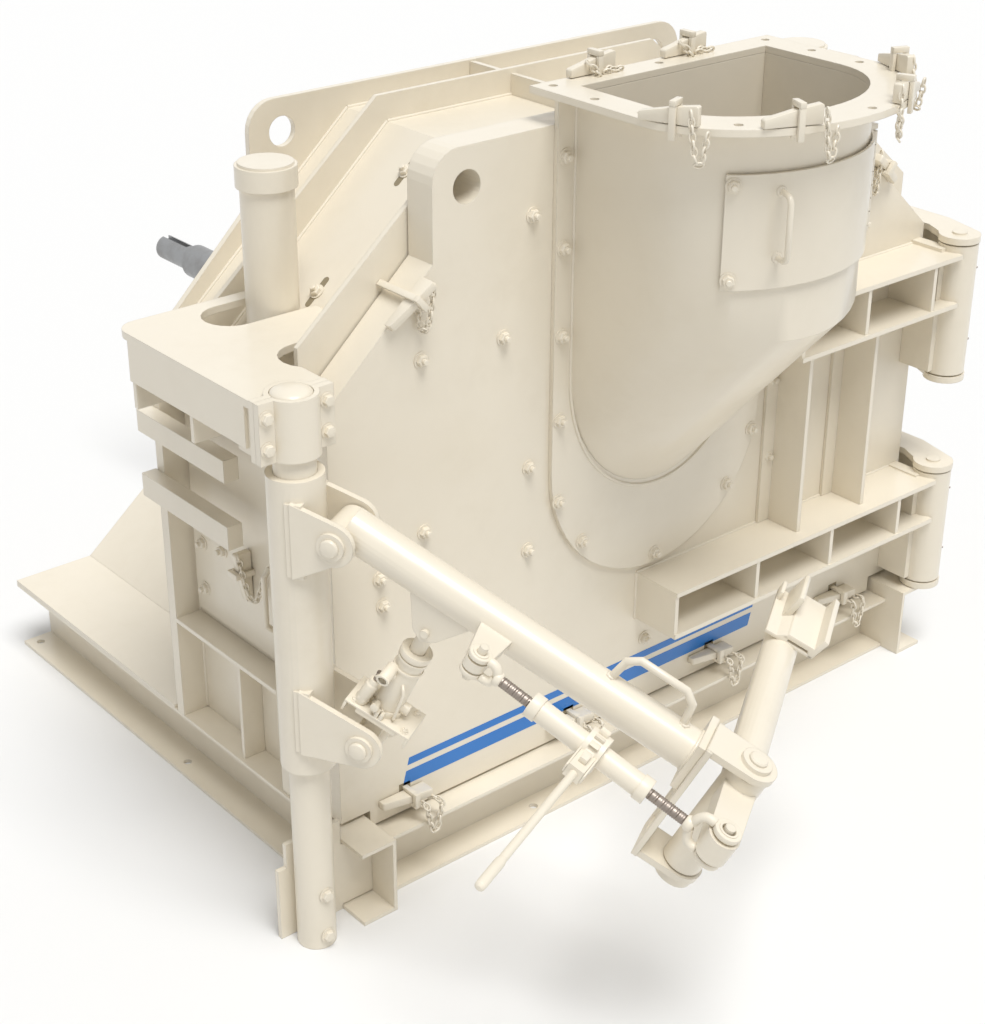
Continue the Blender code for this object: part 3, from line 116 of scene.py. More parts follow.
NODE_FINISHES = {
    "rotor_shaft": "steel",
    "cage_rotor": "cast",
    "turnbuckle_body": "pale_paint",
    "ratchet_handle": "pale_paint",
    "jack_body": "pale_paint",
    "jack_ram": "pale_paint",
}
ROUND_NODES = (
    "jib_mast",
    "jib_sleeve",
    "jib_boom",
    "knuckle_bracket",
    "bell_crank",
    "upper_hinge_arm",
    "lower_hinge_arm",
    "upper_hinge_bracket",
    "lower_hinge_bracket",
    "vent_pipe_left",
    "vent_pipe_right",
    "mast_head_bracket",
    "mast_clamp_cap",
    "bearing_cartridge",
    "rotor_shaft",
    "cage_rotor",
    "turnbuckle_body",
    "ratchet_handle",
    "jack_body",
    "jack_ram",
    "chute_mounting_flange",
)


class FinishSettings(bpy.types.PropertyGroup):
    paint_colour: bpy.props.FloatVectorProperty(
        name="Paint",
        description="Colour of the gloss paint",
        subtype="COLOR",
        default=(0.80, 0.735, 0.61),
    )
    paint_roughness: bpy.props.FloatProperty(
        name="Paint roughness", description="Roughness of the paint", default=0.36, min=0.0, max=1.0
    )
    paint_coat: bpy.props.FloatProperty(
        name="Paint coat", description="Weight of the clear gloss", default=0.35, min=0.0, max=1.0
    )
    grime: bpy.props.FloatProperty(
        name="Grime", description="Strength of the faint dirt", default=0.3, min=0.0, max=1.0
    )
    edge_radius: bpy.props.FloatProperty(
        name="Edge radius",
        description="Softness of painted edges where light catches them",
        default=0.0035,
        min=0.0,
        unit="LENGTH",
    )
    stripe_colour: bpy.props.FloatVectorProperty(
        name="Stripes",
        description="Colour of the door's stripes",
        subtype="COLOR",
        default=(0.004, 0.17, 0.56),
    )
    steel_colour: bpy.props.FloatVectorProperty(
        name="Steel",
        description="Colour of bare machined steel",
        subtype="COLOR",
        default=(0.33, 0.335, 0.34),
    )
    thread_colour: bpy.props.FloatVectorProperty(
        name="Threads",
        description="Colour of the greased threads",
        subtype="COLOR",
        default=(0.36, 0.31, 0.27),
    )
    cast_colour: bpy.props.FloatVectorProperty(
        name="Casting",
        description="Colour of the cage inside",
        subtype="COLOR",
        default=(0.14, 0.13, 0.12),
    )


class FastenerSettings(bpy.types.PropertyGroup):
    across: bpy.props.FloatProperty(
        name="Head width", description="Bolt head across its corners", default=0.037, unit="LENGTH"
    )
    head: bpy.props.FloatProperty(
        name="Head height", description="Height of the bolt head", default=0.016, unit="LENGTH"
    )
    washer: bpy.props.FloatProperty(
        name="Washer radius", description="Radius of the washer", default=0.0245, unit="LENGTH"
    )
    stud: bpy.props.FloatProperty(
        name="Stud length", description="Thread past the nut", default=0.01, unit="LENGTH"
    )


class ClampSettings(bpy.types.PropertyGroup):
    strap_width: bpy.props.FloatProperty(
        name="Strap width", description="Width of the slotted strap", default=0.05, unit="LENGTH"
    )
    strap_steel: bpy.props.FloatProperty(
        name="Strap thickness", description="Thickness of the strap", default=0.018, unit="LENGTH"
    )
    wedge_length: bpy.props.FloatProperty(
        name="Wedge length", description="Length of the wedge", default=0.165, unit="LENGTH"
    )
    wedge_steel: bpy.props.FloatProperty(
        name="Wedge thickness", description="Thickness of the wedge", default=0.024, unit="LENGTH"
    )
    link_pitch: bpy.props.FloatProperty(
        name="Link pitch", description="Length from link to link", default=0.0185, unit="LENGTH"
    )
    link_wire: bpy.props.FloatProperty(
        name="Link wire", description="Radius of the chain's wire", default=0.0033, unit="LENGTH"
    )


class DetailSettings(bpy.types.PropertyGroup):
    stripe_slant: bpy.props.FloatProperty(
        name="Stripe slant", description="Lean of the stripes' ends", default=0.27
    )
    bead: bpy.props.FloatProperty(
        name="Weld bead", description="Radius of the weld beads", default=0.0055, unit="LENGTH"
    )
    rim_hole: bpy.props.FloatProperty(
        name="Rim hole", description="Radius of the chute rim's holes", default=0.0125, unit="LENGTH"
    )
    thread_pitch: bpy.props.FloatProperty(
        name="Thread pitch", description="Pitch of the turnbuckle", default=0.0062, unit="LENGTH"
    )


class StageSettings(bpy.types.PropertyGroup):
    floor_colour: bpy.props.FloatVectorProperty(
        name="Floor",
        description="Colour of the floor",
        subtype="COLOR",
        default=(0.82, 0.82, 0.815),
    )
    overhead: bpy.props.FloatProperty(
        name="Overhead", description="Strength of the wide soft lamp overhead", default=2.6
    )
    softness: bpy.props.FloatProperty(
        name="Softness", description="Width of the overhead lamp", default=0.55, subtype="ANGLE"
    )
    sky: bpy.props.FloatProperty(name="Sky", description="Strength of the even light", default=0.43)
    focal_length: bpy.props.FloatProperty(
        name="Focal length", description="Focal length of the camera in millimetres", default=67.63
    )


class Value:
    """A socket that takes part in arithmetic: each operation adds its Math node."""

    def __init__(self, graph, socket):
        self.graph = graph
        self.socket = socket

    def math(self, operation, first, second):
        return self.graph.node("ShaderNodeMath", {"operation": operation}, {0: first, 1: second})

    def __add__(self, other):
        return self.math("ADD", self, other)

    def __radd__(self, other):
        return self.math("ADD", other, self)

    def __sub__(self, other):
        return self.math("SUBTRACT", self, other)

    def __rsub__(self, other):
        return self.math("SUBTRACT", other, self)

    def __mul__(self, other):
        return self.math("MULTIPLY", self, other)

    def __rmul__(self, other):
        return self.math("MULTIPLY", other, self)

    def __truediv__(self, other):
        return self.math("DIVIDE", self, other)

    def limited(self):
        return self.graph.node("ShaderNodeClamp", {}, {"Value": self})


class Graph:
    """A node tree under construction."""

    def __init__(self, tree):
        self.tree = tree

    def feed(self, socket, value):
        if isinstance(value, Value):
            self.tree.links.new(value.socket, socket)
        else:
            socket.default_value = value

    def node(self, kind, settings=None, inputs=None, output=0):
        """Adds a node: its settings first, then the values or links of its sockets."""
        node = self.tree.nodes.new(kind)
        for key, value in (settings or {}).items():
            if key == "stops":
                ramp = node.color_ramp
                for index, (place, colour) in enumerate(value):
                    stop = ramp.elements[index] if index < 2 else ramp.elements.new(place)
                    stop.position = place
                    stop.color = colour
            else:
                setattr(node, key, value)
        for key, value in (inputs or {}).items():
            for one in value if isinstance(value, list) else [value]:
                self.feed(node.inputs[key], one)
        return Value(self, node.outputs[output])

    def vector(self, x=0.0, y=0.0, z=0.0):
        return self.node("ShaderNodeCombineXYZ", {}, {"X": x, "Y": y, "Z": z})


class Recipe(Graph):
    """A Geometry Nodes tree with named inputs that ends in one realised, coloured mesh."""

    def __init__(self, name, inputs):
        super().__init__(bpy.data.node_groups.new(name, "GeometryNodeTree"))
        face = self.tree.interface
        face.new_socket("Geometry", in_out="INPUT", socket_type="NodeSocketGeometry")
        face.new_socket("Geometry", in_out="OUTPUT", socket_type="NodeSocketGeometry")
        self.keys = {}
        for label, default in inputs.items():
            socket = face.new_socket(label, in_out="INPUT", socket_type="NodeSocketFloat")
            socket.default_value = default
            self.keys[label] = socket.identifier
        socket = face.new_socket("Material", in_out="INPUT", socket_type="NodeSocketMaterial")
        self.keys["Material"] = socket.identifier
        self.entry = self.tree.nodes.new("NodeGroupInput")
        self.exit = self.tree.nodes.new("NodeGroupOutput")

    def given(self, label):
        return Value(self, self.entry.outputs[label])

    def moved(self, geometry, **how):
        """The geometry after a Transform node with these sockets, such as Translation."""
        return self.node("GeometryNodeTransform", {}, {"Geometry": geometry, **how})

    def line(self):
        """The entering edges as a curve."""
        return self.node("GeometryNodeMeshToCurve", {}, {"Mesh": self.given("Geometry")})

    def circle(self, points, radius):
        inputs = {"Resolution": points, "Radius": radius}
        return self.node("GeometryNodeCurvePrimitiveCircle", {}, inputs)

    def joined(self, *geometries):
        return self.node("GeometryNodeJoinGeometry", {}, {"Geometry": list(geometries)})

    def on_points(self, points, copy):
        """The copy on each point, its Z along the point's way, at the point's size."""
        kind = "GeometryNodeInputNamedAttribute"
        way = self.node(kind, {"data_type": "FLOAT_VECTOR"}, {"Name": "way"})
        size = self.node(kind, {"data_type": "FLOAT"}, {"Name": "size"})
        turn = self.node("FunctionNodeAlignRotationToVector", {"axis": "Z"}, {"Vector": way})
        inputs = {"Points": points, "Instance": copy, "Rotation": turn, "Scale": size}
        return self.node("GeometryNodeInstanceOnPoints", {}, inputs)

    def end(self, geometry):
        whole = self.node("GeometryNodeRealizeInstances", {}, {"Geometry": geometry})
        inputs = {"Geometry": whole, "Material": self.given("Material")}
        coloured = self.node("GeometryNodeSetMaterial", {}, inputs)
        self.tree.links.new(coloured.socket, self.exit.inputs["Geometry"])
        return self


def shader_graph(name):
    """A material with an empty Principled surface: (material, graph, shader node)."""
    material = bpy.data.materials.new(name)
    material.use_nodes = True
    graph = Graph(material.node_tree)
    return material, graph, material.node_tree.nodes["Principled BSDF"]


def noise(graph, place, scale, detail=3.0, roughness=0.55):
    inputs = {"Vector": place, "Scale": scale, "Detail": detail, "Roughness": roughness}
    return graph.node("ShaderNodeTexNoise", {}, inputs)


def mixed(graph, factor, first, second):
    inputs = {0: factor, 6: (*first, 1.0), 7: (*second, 1.0)}
    return graph.node("ShaderNodeMix", {"data_type": "RGBA"}, inputs, output=2)


def gloss_paint(name, colour, roughness, coat, grime, edge):
    """Gloss enamel over steel: soft edges, a little orange peel and faint handling dirt."""
    material, graph, shader = shader_graph(name)
    place = graph.node("ShaderNodeTexCoord", {}, {}, output="Object")
    patches = noise(graph, place, 2.3, 6.0, 0.62)
    smears = noise(graph, place, 17.0, 4.0, 0.6)
    peel = noise(graph, place, 210.0, 2.0, 0.5)
    dirt = ((patches * 2.6 - 1.1).limited() * (smears * 1.9 - 0.45).limited() * grime).limited()
    dirty = tuple(part * shade for part, shade in zip(colour, (0.74, 0.70, 0.62)))
    graph.feed(shader.inputs["Base Color"], mixed(graph, dirt, colour, dirty))
    graph.feed(shader.inputs["Roughness"], roughness + (smears - 0.5) * 0.16 + dirt * 0.3)
    shader.inputs["Coat Weight"].default_value = coat
    shader.inputs["Coat Roughness"].default_value = 0.12
    edges = graph.node("ShaderNodeBevel", {"samples": 4}, {"Radius": edge})
    bump = {"Strength": 0.05, "Distance": 0.0006, "Height": peel, "Normal": edges}
    graph.feed(shader.inputs["Normal"], graph.node("ShaderNodeBump", {}, bump))
    return material


def metal(name, colour, roughness, grain, grime=0.5):
    """Bare metal with fine tool marks and dull patches."""
    material, graph, shader = shader_graph(name)
    place = graph.node("ShaderNodeTexCoord", {}, {}, output="Object")
    patches = noise(graph, place, 21.0, 5.0, 0.6)
    marks = noise(graph, place, grain, 3.0, 0.6)
    dull = (patches * 2.0 - 0.7).limited() * grime
    dark = tuple(part * 0.55 for part in colour)
    graph.feed(shader.inputs["Base Color"], mixed(graph, dull, colour, dark))
    graph.feed(shader.inputs["Roughness"], roughness + dull * 0.25 + (marks - 0.5) * 0.2)
    shader.inputs["Metallic"].default_value = 0.92
    bump = {"Strength": 0.12, "Distance": 0.0004, "Height": marks}
    graph.feed(shader.inputs["Normal"], graph.node("ShaderNodeBump", {}, bump))
    return material


def turned_steel(name, colour, roughness):
    """Machined shaft: rings of tool marks along Y, handling stains and a thin oil film."""
    material, graph, shader = shader_graph(name)
    place = graph.node("ShaderNodeTexCoord", {}, {}, output="Object")
    rings = graph.node("ShaderNodeMapping", {}, {"Vector": place, "Scale": (3.0, 900.0, 3.0)})
    marks = noise(graph, rings, 1.0, 2.0, 0.5)
    stains = noise(graph, place, 9.0, 6.0, 0.65)
    stain = (stains * 2.4 - 1.0).limited()
    graph.feed(shader.inputs["Base Color"], mixed(graph, stain * 0.55, colour, (0.16, 0.135, 0.11)))
    graph.feed(shader.inputs["Roughness"], roughness + marks * 0.18 + stain * 0.2)
    shader.inputs["Metallic"].default_value = 0.95
    bump = {"Strength": 0.2, "Distance": 0.0003, "Height": marks}
    graph.feed(shader.inputs["Normal"], graph.node("ShaderNodeBump", {}, bump))
    return material


FINISHES = {}


def make_finishes(settings):
    """Fills the table of materials from the settings."""
    paint = tuple(settings.paint_colour)
    pale = tuple(min(part * 1.03, 0.86) for part in paint)
    # Dark paint for the thin sheets laid over the slots: painted shade, standing in for the shadow
    # inside the slotted holes.
    shade = tuple(part * share for part, share in zip(paint, (0.34, 0.31, 0.24)))
    stripe = tuple(settings.stripe_colour)
    gloss = (settings.paint_roughness, settings.paint_coat, settings.grime)
    worn = (0.42, 0.15, settings.grime * 1.4)
    edge = settings.edge_radius
    FINISHES.update(
        paint=gloss_paint("cream_gloss_paint", paint, *gloss, edge),
        fitting_paint=gloss_paint("cream_fitting_paint", paint, *gloss, 0.0012),
        pale_paint=gloss_paint("pale_tool_paint", pale, *worn, edge * 0.5),
        stripe=gloss_paint("blue_stripe_paint", stripe, 0.3, 0.4, 0.06, 0.0002),
        steel=turned_steel("machined_steel", tuple(settings.steel_colour), 0.3),
        thread=metal("greased_thread_steel", tuple(settings.thread_colour), 0.42, 160.0),
        slot=gloss_paint("painted_slot_shade", shade, 0.7, 0.0, settings.grime, 0.0002),
        cast=metal("rough_casting", tuple(settings.cast_colour), 0.62, 60.0),
    )


def finish(name):
    if not FINISHES:
        make_finishes(bpy.context.scene.crusher_finish)
    return FINISHES[name]


class Shape:
    """Closed solids gathered into one mesh, in the row frame."""

    def __init__(self):
        self.points = []
        self.faces = []

    def add(self, points, faces, place=None):
        place = place or Matrix.Identity(4)
        start = len(self.points)
        self.points += [place @ Vector(point) for point in points]
        self.faces += [[start + i for i in face] for face in faces]

    def loft(self, rings, place=None):
        count = len(rings[0])
        points = [point for ring in rings for point in ring]
        faces = [list(range(count))[::-1], list(range(len(points) - count, len(points)))]
        for start in range(0, len(points) - count, count):
            for i in range(count):
                j = (i + 1) % count
                faces.append([start + i, start + j, start + count + j, start + count + i])
        self.add(points, faces, place)

    def prism(self, outline, axis, low, high, place=None):
        """The outline pushed from one level of the axis to the other."""
        at = "xyz".index(axis)
        rings = [[(*flat[:at], level, *flat[at:]) for flat in outline] for level in (low, high)]
        self.loft(rings, place)

    def box(self, low, high, place=None):
        corners = [(low[0], low[1]), (high[0], low[1]), (high[0], high[1]), (low[0], high[1])]
        self.prism(corners, "z", low[2], high[2], place)

    def lathe(self, profile, sides, place=None):
        """Rings of (radius, height) round local Z."""
        turns = [math.tau * k / sides for k in range(sides)]
        rings = [[(r * math.cos(t), r * math.sin(t), height) for t in turns] for r, height in profile]
        self.loft(rings, place)

    def ring(self, inner, outer, low, high, sides, place=None):
        """Short pipe round local Z."""
        points = []
        faces = []
        corners = ((inner, low), (outer, low), (outer, high), (inner, high))
        for k in range(sides):
            turn = math.tau * k / sides
            points += [(r * math.cos(turn), r * math.sin(turn), h) for r, h in corners]
            for i in range(4):
                j = (i + 1) % 4
                a, b = 4 * k, 4 * ((k + 1) % sides)
                faces.append([a + i, b + i, b + j, a + j])
        self.add(points, faces, place)

    def tube(self, line, radius, sides, place=None):
        """Round bar along a bent line, with flat ends."""
        line = [Vector(point) for point in line]
        rings = []
        side = None
        for k, point in enumerate(line):
            before = (point - line[k - 1]).normalized() if k else None
            after = (line[k + 1] - point).normalized() if k + 1 < len(line) else None
            way = ((before or after) + (after or before)).normalized()
            guide = side or (UP if abs(way.z) < 0.9 else Vector((1.0, 0.0, 0.0)))
            side = (guide - way * guide.dot(way)).normalized()
            other = way.cross(side)
            ring = []
            for i in range(sides):
                turn = math.tau * i / sides
                ring.append(point + side * (radius * math.cos(turn)) + other * (radius * math.sin(turn)))
            rings.append(ring)
        self.loft(rings, place)

    def round_the_chute(self, grow, start, end, low, high, steps=28):
        """Curved plate that follows the chute's front between two angles from straight ahead."""
        rings = []
        for k in range(steps + 1):
            angle = math.radians(-90.0 + start + (end - start) * k / steps)
            ring = []
            for more, z in ((grow[0], low), (grow[1], low), (grow[1], high), (grow[0], high)):
                ring.append((*chute_front(angle, more), z))
            rings.append(ring)
        self.loft(rings)

    def mesh(self, name):
        """The solids as one mesh whose faces point outwards."""
        mesh = bpy.data.meshes.new(name)
        mesh.from_pydata(self.points, [], self.faces)
        work = bmesh.new()
        work.from_mesh(mesh)
        bmesh.ops.recalc_face_normals(work, faces=work.faces)
        work.to_mesh(mesh)
        work.free()
        return mesh

    def piece(self, name, finish_name, body, bevel=0.0, smooth=32.0):
        """The mesh object of these solids, riding on its body."""
        obj = linked(name, self.mesh(name))
        if bevel:
            modifier = obj.modifiers.new("edges", "BEVEL")
            modifier.width = bevel
            modifier.segments = 2
            modifier.limit_method = "ANGLE"
            modifier.angle_limit = math.radians(38.0)
            settle(obj)
        return dressed(obj, finish_name, body, smooth)


def turned(degrees, axis):
    return Matrix.Rotation(math.radians(degrees), 4, axis)


def shifted(x=0.0, y=0.0, z=0.0):
    return Matrix.Translation((x, y, z))


def oval(centre, radii, degrees):
    """Flat point on the oval round the centre, that far round from its first axis."""
    angle = math.radians(degrees)
    return centre[0] + radii[0] * math.cos(angle), centre[1] + radii[1] * math.sin(angle)


def arc(centre, radii, start, end, steps):
    """Flat points on the oval from one angle to another."""
    return [oval(centre, radii, start + (end - start) * k / steps) for k in range(steps + 1)]


def chute_front(angle, grow=0.0):
    """Point (x, y) on the chute's rounded front, an angle from +X, that far outside its steel."""
    return (
        (CHUTE_HALF + grow) * math.cos(angle),
        CHUTE_STRAIGHT + (CHUTE_BULGE + grow) * math.sin(angle),
    )


def plain_copy(node):
    """The node's mesh with its loose triangles joined up."""
    work = bmesh.new()
    work.from_mesh(frame["nodes"][node].data)
    bmesh.ops.remove_doubles(work, verts=work.verts, dist=0.00005)
    points = [tuple(vertex.co) for vertex in work.verts]
    faces = [[vertex.index for vertex in face.verts] for face in work.faces]
    work.free()
    mesh = bpy.data.meshes.new(node + "_copy")
    mesh.from_pydata(points, [], faces)
    return mesh


def cut(obj, shape):
    """Takes the shape's solids out of the object."""
    cutter = linked("cutter", shape.mesh("cutter"))
    modifier = obj.modifiers.new("cut", "BOOLEAN")
    modifier.operation = "DIFFERENCE"
    modifier.solver = "EXACT"
    modifier.object = cutter
    settle(obj)
    bpy.data.objects.remove(cutter)
    return obj


def linked(name, mesh):
    obj = bpy.data.objects.new(name, mesh)
    bpy.context.scene.collection.objects.link(obj)
    return obj


def settle(obj):
    """Turns the evaluated object into its plain mesh and drops the modifiers."""
    graph = bpy.context.evaluated_depsgraph_get()
    mesh = bpy.data.meshes.new_from_object(obj.evaluated_get(graph))
    mesh.name = obj.name
    obj.modifiers.clear()
    obj.data = mesh
    return obj


def dressed(obj, finish_name, body, smooth=32.0):
    """The object with its one material, smooth up to that angle, riding on its body."""
    mesh = obj.data
    mesh.materials.clear()
    mesh.materials.append(finish(finish_name))
    for polygon in mesh.polygons:
        polygon.use_smooth = True
    mesh.set_sharp_from_angle(angle=math.radians(smooth))
    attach(obj, body)
    return obj


def grown(name, recipe, values, body, finish_name, points=(), lines=(), smooth=32.0):
    """The recipe's mesh from points of (place, way, size), or from lines of places."""
    places = [place for place, _, _ in points]
    edges = []
    for line in lines:
        start = len(places)
        places += line
        edges += [(start + i, start + i + 1) for i in range(len(line) - 1)]
    mesh = bpy.data.meshes.new(name)
    mesh.from_pydata([tuple(place) for place in places], edges, [])
    if points:
        ways = mesh.attributes.new("way", "FLOAT_VECTOR", "POINT")
        for index, (_, way, _) in enumerate(points):
            ways.data[index].vector = Vector(way).normalized()
        sizes = mesh.attributes.new("size", "FLOAT", "POINT")
        for index, (_, _, size) in enumerate(points):
            sizes.data[index].value = size
    obj = linked(name, mesh)
    modifier = obj.modifiers.new("recipe", "NODES")
    modifier.node_group = recipe.tree
    for label, value in {**values, "Material": finish(finish_name)}.items():
        modifier[recipe.keys[label]] = value
    settle(obj)
    for attribute in list(obj.data.attributes):
        if attribute.name in ("way", "size"):
            obj.data.attributes.remove(attribute)
    return dressed(obj, finish_name, body, smooth)


def bolt_recipe():
    """Hexagon head with its chamfer, washer and the thread end that stands past it."""
    recipe = Recipe("HexBolts", {"Across": 0.037, "Head": 0.016, "Washer": 0.0245, "Stud": 0.01})
    across = recipe.given("Across")
    head = recipe.given("Head")
    stud = recipe.given("Stud")

    def cylinder(sides, radius, depth, low):
        inputs = {"Vertices": sides, "Radius": radius, "Depth": depth}
        shape = recipe.node("GeometryNodeMeshCylinder", {}, inputs)
        return recipe.moved(shape, Translation=recipe.vector(z=depth * 0.5 + low))

    def cone(sides, wide, narrow, depth, low):
        inputs = {"Vertices": sides, "Radius Bottom": wide, "Radius Top": narrow, "Depth": depth}
        shape = recipe.node("GeometryNodeMeshCone", {}, inputs)
        return recipe.moved(shape, Translation=recipe.vector(z=low))

    washer = cylinder(24, recipe.given("Washer"), head * 0.2, 0.0)
    hexagon = cylinder(6, across * 0.5, head * 0.62, head * 0.18)
    crown = cone(6, across * 0.5, across * 0.41, head * 0.2, head * 0.8)
    thread = cylinder(14, across * 0.25, stud, head * 0.98)
    tip = cone(14, across * 0.25, across * 0.2, stud * 0.2, head * 0.98 + stud)
    whole = recipe.joined(washer, hexagon, crown, thread, tip)
    return recipe.end(recipe.on_points(recipe.given("Geometry"), whole))


def chain_recipe():
    """Oval links along each line, every second one turned by a quarter."""
    recipe = Recipe("Chain", {"Pitch": 0.0185, "Wire": 0.0033})
    pitch = recipe.given("Pitch")
    wire = recipe.given("Wire")
    inputs = {"Curve": recipe.line(), "Length": pitch}
    spots = recipe.node("GeometryNodeResampleCurve", {"mode": "LENGTH"}, inputs)
    size = recipe.vector(pitch * 0.5 + wire, pitch * 0.26 + wire, 1.0)
    ring = recipe.moved(recipe.circle(14, 1.0), Scale=size)
    inputs = {"Curve": ring, "Profile Curve": recipe.circle(6, wire)}
    link = recipe.node("GeometryNodeCurveToMesh", {}, inputs)
    tangent = recipe.node("GeometryNodeInputTangent")
    along = recipe.node("FunctionNodeAlignRotationToVector", {"axis": "X"}, {"Vector": tangent})
    index = recipe.node("GeometryNodeInputIndex")
    inputs = {"Axis": (1.0, 0.0, 0.0), "Angle": index * (math.pi / 2.0) + 0.4}
    roll = recipe.node("FunctionNodeAxisAngleToRotation", {}, inputs)
    inputs = {"Rotation": along, "Rotate By": roll}
    turn = recipe.node("FunctionNodeRotateRotation", {"rotation_space": "LOCAL"}, inputs)
    inputs = {"Points": spots, "Instance": link, "Rotation": turn}
    return recipe.end(recipe.node("GeometryNodeInstanceOnPoints", {}, inputs))


def weld_recipe():
    """Rippled bead along each line."""
    recipe = Recipe("WeldBeads", {"Bead": 0.0055})
    inputs = {"Curve": recipe.line(), "Length": 0.012}
    spots = recipe.node("GeometryNodeResampleCurve", {"mode": "LENGTH"}, inputs)
    place = recipe.node("GeometryNodeInputPosition")
    inputs = {"Curve": spots, "Radius": noise(recipe, place, 55.0, 1.0) * 0.7 + 0.65}
    swollen = recipe.node("GeometryNodeSetCurveRadius", {}, inputs)
    section = recipe.circle(8, recipe.given("Bead"))
    inputs = {"Curve": swollen, "Profile Curve": section, "Fill Caps": True}
    return recipe.end(recipe.node("GeometryNodeCurveToMesh", {}, inputs))


def thread_recipe():
    """Core of a stud with a helical ridge, standing on each point."""
    recipe = Recipe("Threads", {"Radius": THREAD_CORE, "Pitch": 0.0062, "Length": 0.12})
    radius = recipe.given("Radius")
    pitch = recipe.given("Pitch")
    length = recipe.given("Length")
    inputs = {
        "Resolution": 20,
        "Rotations": length / pitch - 1.0,
        "Start Radius": radius,
        "End Radius": radius,
        "Height": length - pitch,
    }
    helix = recipe.node("GeometryNodeCurveSpiral", {}, inputs)
    inputs = {"Curve": helix, "Profile Curve": recipe.circle(4, pitch * 0.31)}
    ridge = recipe.node("GeometryNodeCurveToMesh", {}, inputs)
    ridge = recipe.moved(ridge, Translation=recipe.vector(z=pitch * 0.5))
    inputs = {"Vertices": 24, "Radius": radius + 0.0002, "Depth": length}
    core = recipe.node("GeometryNodeMeshCylinder", {}, inputs)
    core = recipe.moved(core, Translation=recipe.vector(z=length * 0.5))
    return recipe.end(recipe.on_points(recipe.given("Geometry"), recipe.joined(ridge, core)))


MAKERS = {"bolts": bolt_recipe, "chain": chain_recipe, "weld": weld_recipe, "thread": thread_recipe}
RECIPES = {}


def recipe_for(name):
    if name not in RECIPES:
        RECIPES[name] = MAKERS[name]()
    return RECIPES[name]


def bolts(name, body, points, finish_name="fitting_paint", stud=None):
    """Bolts at points of (place, outward way, size)."""
    settings = bpy.context.scene.crusher_fasteners
    values = {
        "Across": settings.across,
        "Head": settings.head,
        "Washer": settings.washer,
        "Stud": settings.stud if stud is None else stud,
    }
    return grown(name, recipe_for("bolts"), values, body, finish_name, points=points, smooth=30.0)


def chains(name, body, lines):
    settings = bpy.context.scene.crusher_clamps
    values = {"Pitch": settings.link_pitch, "Wire": settings.link_wire}
    recipe = recipe_for("chain")
    return grown(name, recipe, values, body, "fitting_paint", lines=lines, smooth=60.0)


def welds(name, body, lines):
    values = {"Bead": bpy.context.scene.crusher_details.bead}
    recipe = recipe_for("weld")
    return grown(name, recipe, values, body, "fitting_paint", lines=lines, smooth=60.0)


def hanging(start, end, sag, steps=14):
    """A chain's line from start to end, sagging by that much in the middle."""
    start = Vector(start)
    end = Vector(end)
    line = []
    for k in range(steps + 1):
        t = k / steps
        line.append(start.lerp(end, t) - UP * (4.0 * sag * t * (1.0 - t)))
    return line


def standing(place, up, along):
    """Matrix at the place with local Z along up and local X close to along."""
    up = Vector(up).normalized()
    along = Vector(along)
    along = (along - up * along.dot(up)).normalized()
    side = up.cross(along)
    rows = [[along[i], side[i], up[i], place[i]] for i in range(3)]
    return Matrix([*rows, [0.0, 0.0, 0.0, 1.0]])


def wedge_clamp(shape, place, foot=0.0):
    """Slotted strap that stands up along local Z, a wedge driven through it along X.

    Its legs start that far under the place. Returns the spot where its chain starts.
    """
    settings = bpy.context.scene.crusher_clamps
    half = settings.strap_width / 2.0
    steel = settings.strap_steel / 2.0
    leg = (settings.strap_width - settings.wedge_steel) / 2.0 - 0.0015
    slot_top, strap_top = 0.05, 0.066
    shape.box((-steel, -half, -foot), (steel, -half + leg, slot_top), place)
    shape.box((-steel, half - leg, -foot), (steel, half, slot_top), place)
    shape.box((-steel, -half, slot_top), (steel, half, strap_top), place)
    length = settings.wedge_length
    wedge = [(-0.6, 0.003), (0.4, 0.003), (0.4, 0.052), (0.37, 0.056)]
    wedge += [(0.05, 0.0485), (-0.58, 0.026), (-0.6, 0.022)]
    thick = settings.wedge_steel / 2.0
    shape.prism([(share * length, z) for share, z in wedge], "y", -thick, thick, place)
    return place @ Vector((0.36 * length, -thick - 0.004, 0.042))


def jib_plane(reach, height):
    """Matrix on the jib's middle plane, local X away from the mast, Y across, Z up."""
    place = MAST + HEADING * reach + UP * height
    rows = [[HEADING[i], ACROSS[i], UP[i], place[i]] for i in range(3)]
    return Matrix([*rows, [0.0, 0.0, 0.0, 1.0]])


def boom_place():
    """Matrix from the upper pin: local X down along the boom, Y across, Z above it."""
    return jib_plane(*EAR_PIN) @ turned(BOOM_FALL, "Y")


def turnbuckle_place():
    """(matrix with local X from the boom's lug pin to the lever pin, their distance)."""
    run = Vector(LEVER_PIN) - Vector(LUG_PIN)
    place = boom_place() @ shifted(*LUG_PIN, LIFT)
    return place @ Matrix.Rotation(math.atan2(run.y, run.x), 4, "Z"), run.length


def jack_place():
    """Matrix from the lower pin: local Z along the jack."""
    base = jib_plane(*JACK_PIN)
    local = base.inverted() @ boom_place() @ Vector(GUSSET_PIN)
    return base @ Matrix.Rotation(math.atan2(local.x, local.z), 4, "Y")


def slope_point(side, x, y):
    """Point on the sloping roof of the housing, with its outward way."""
    run = SHELL_HALF - ROOF_HALF
    z = SHOULDER_Z + (SHELL_HALF - x) * ROOF_RISE / run
    return Vector((side * x, y, z)), Vector((side * ROOF_RISE, 0.0, run))


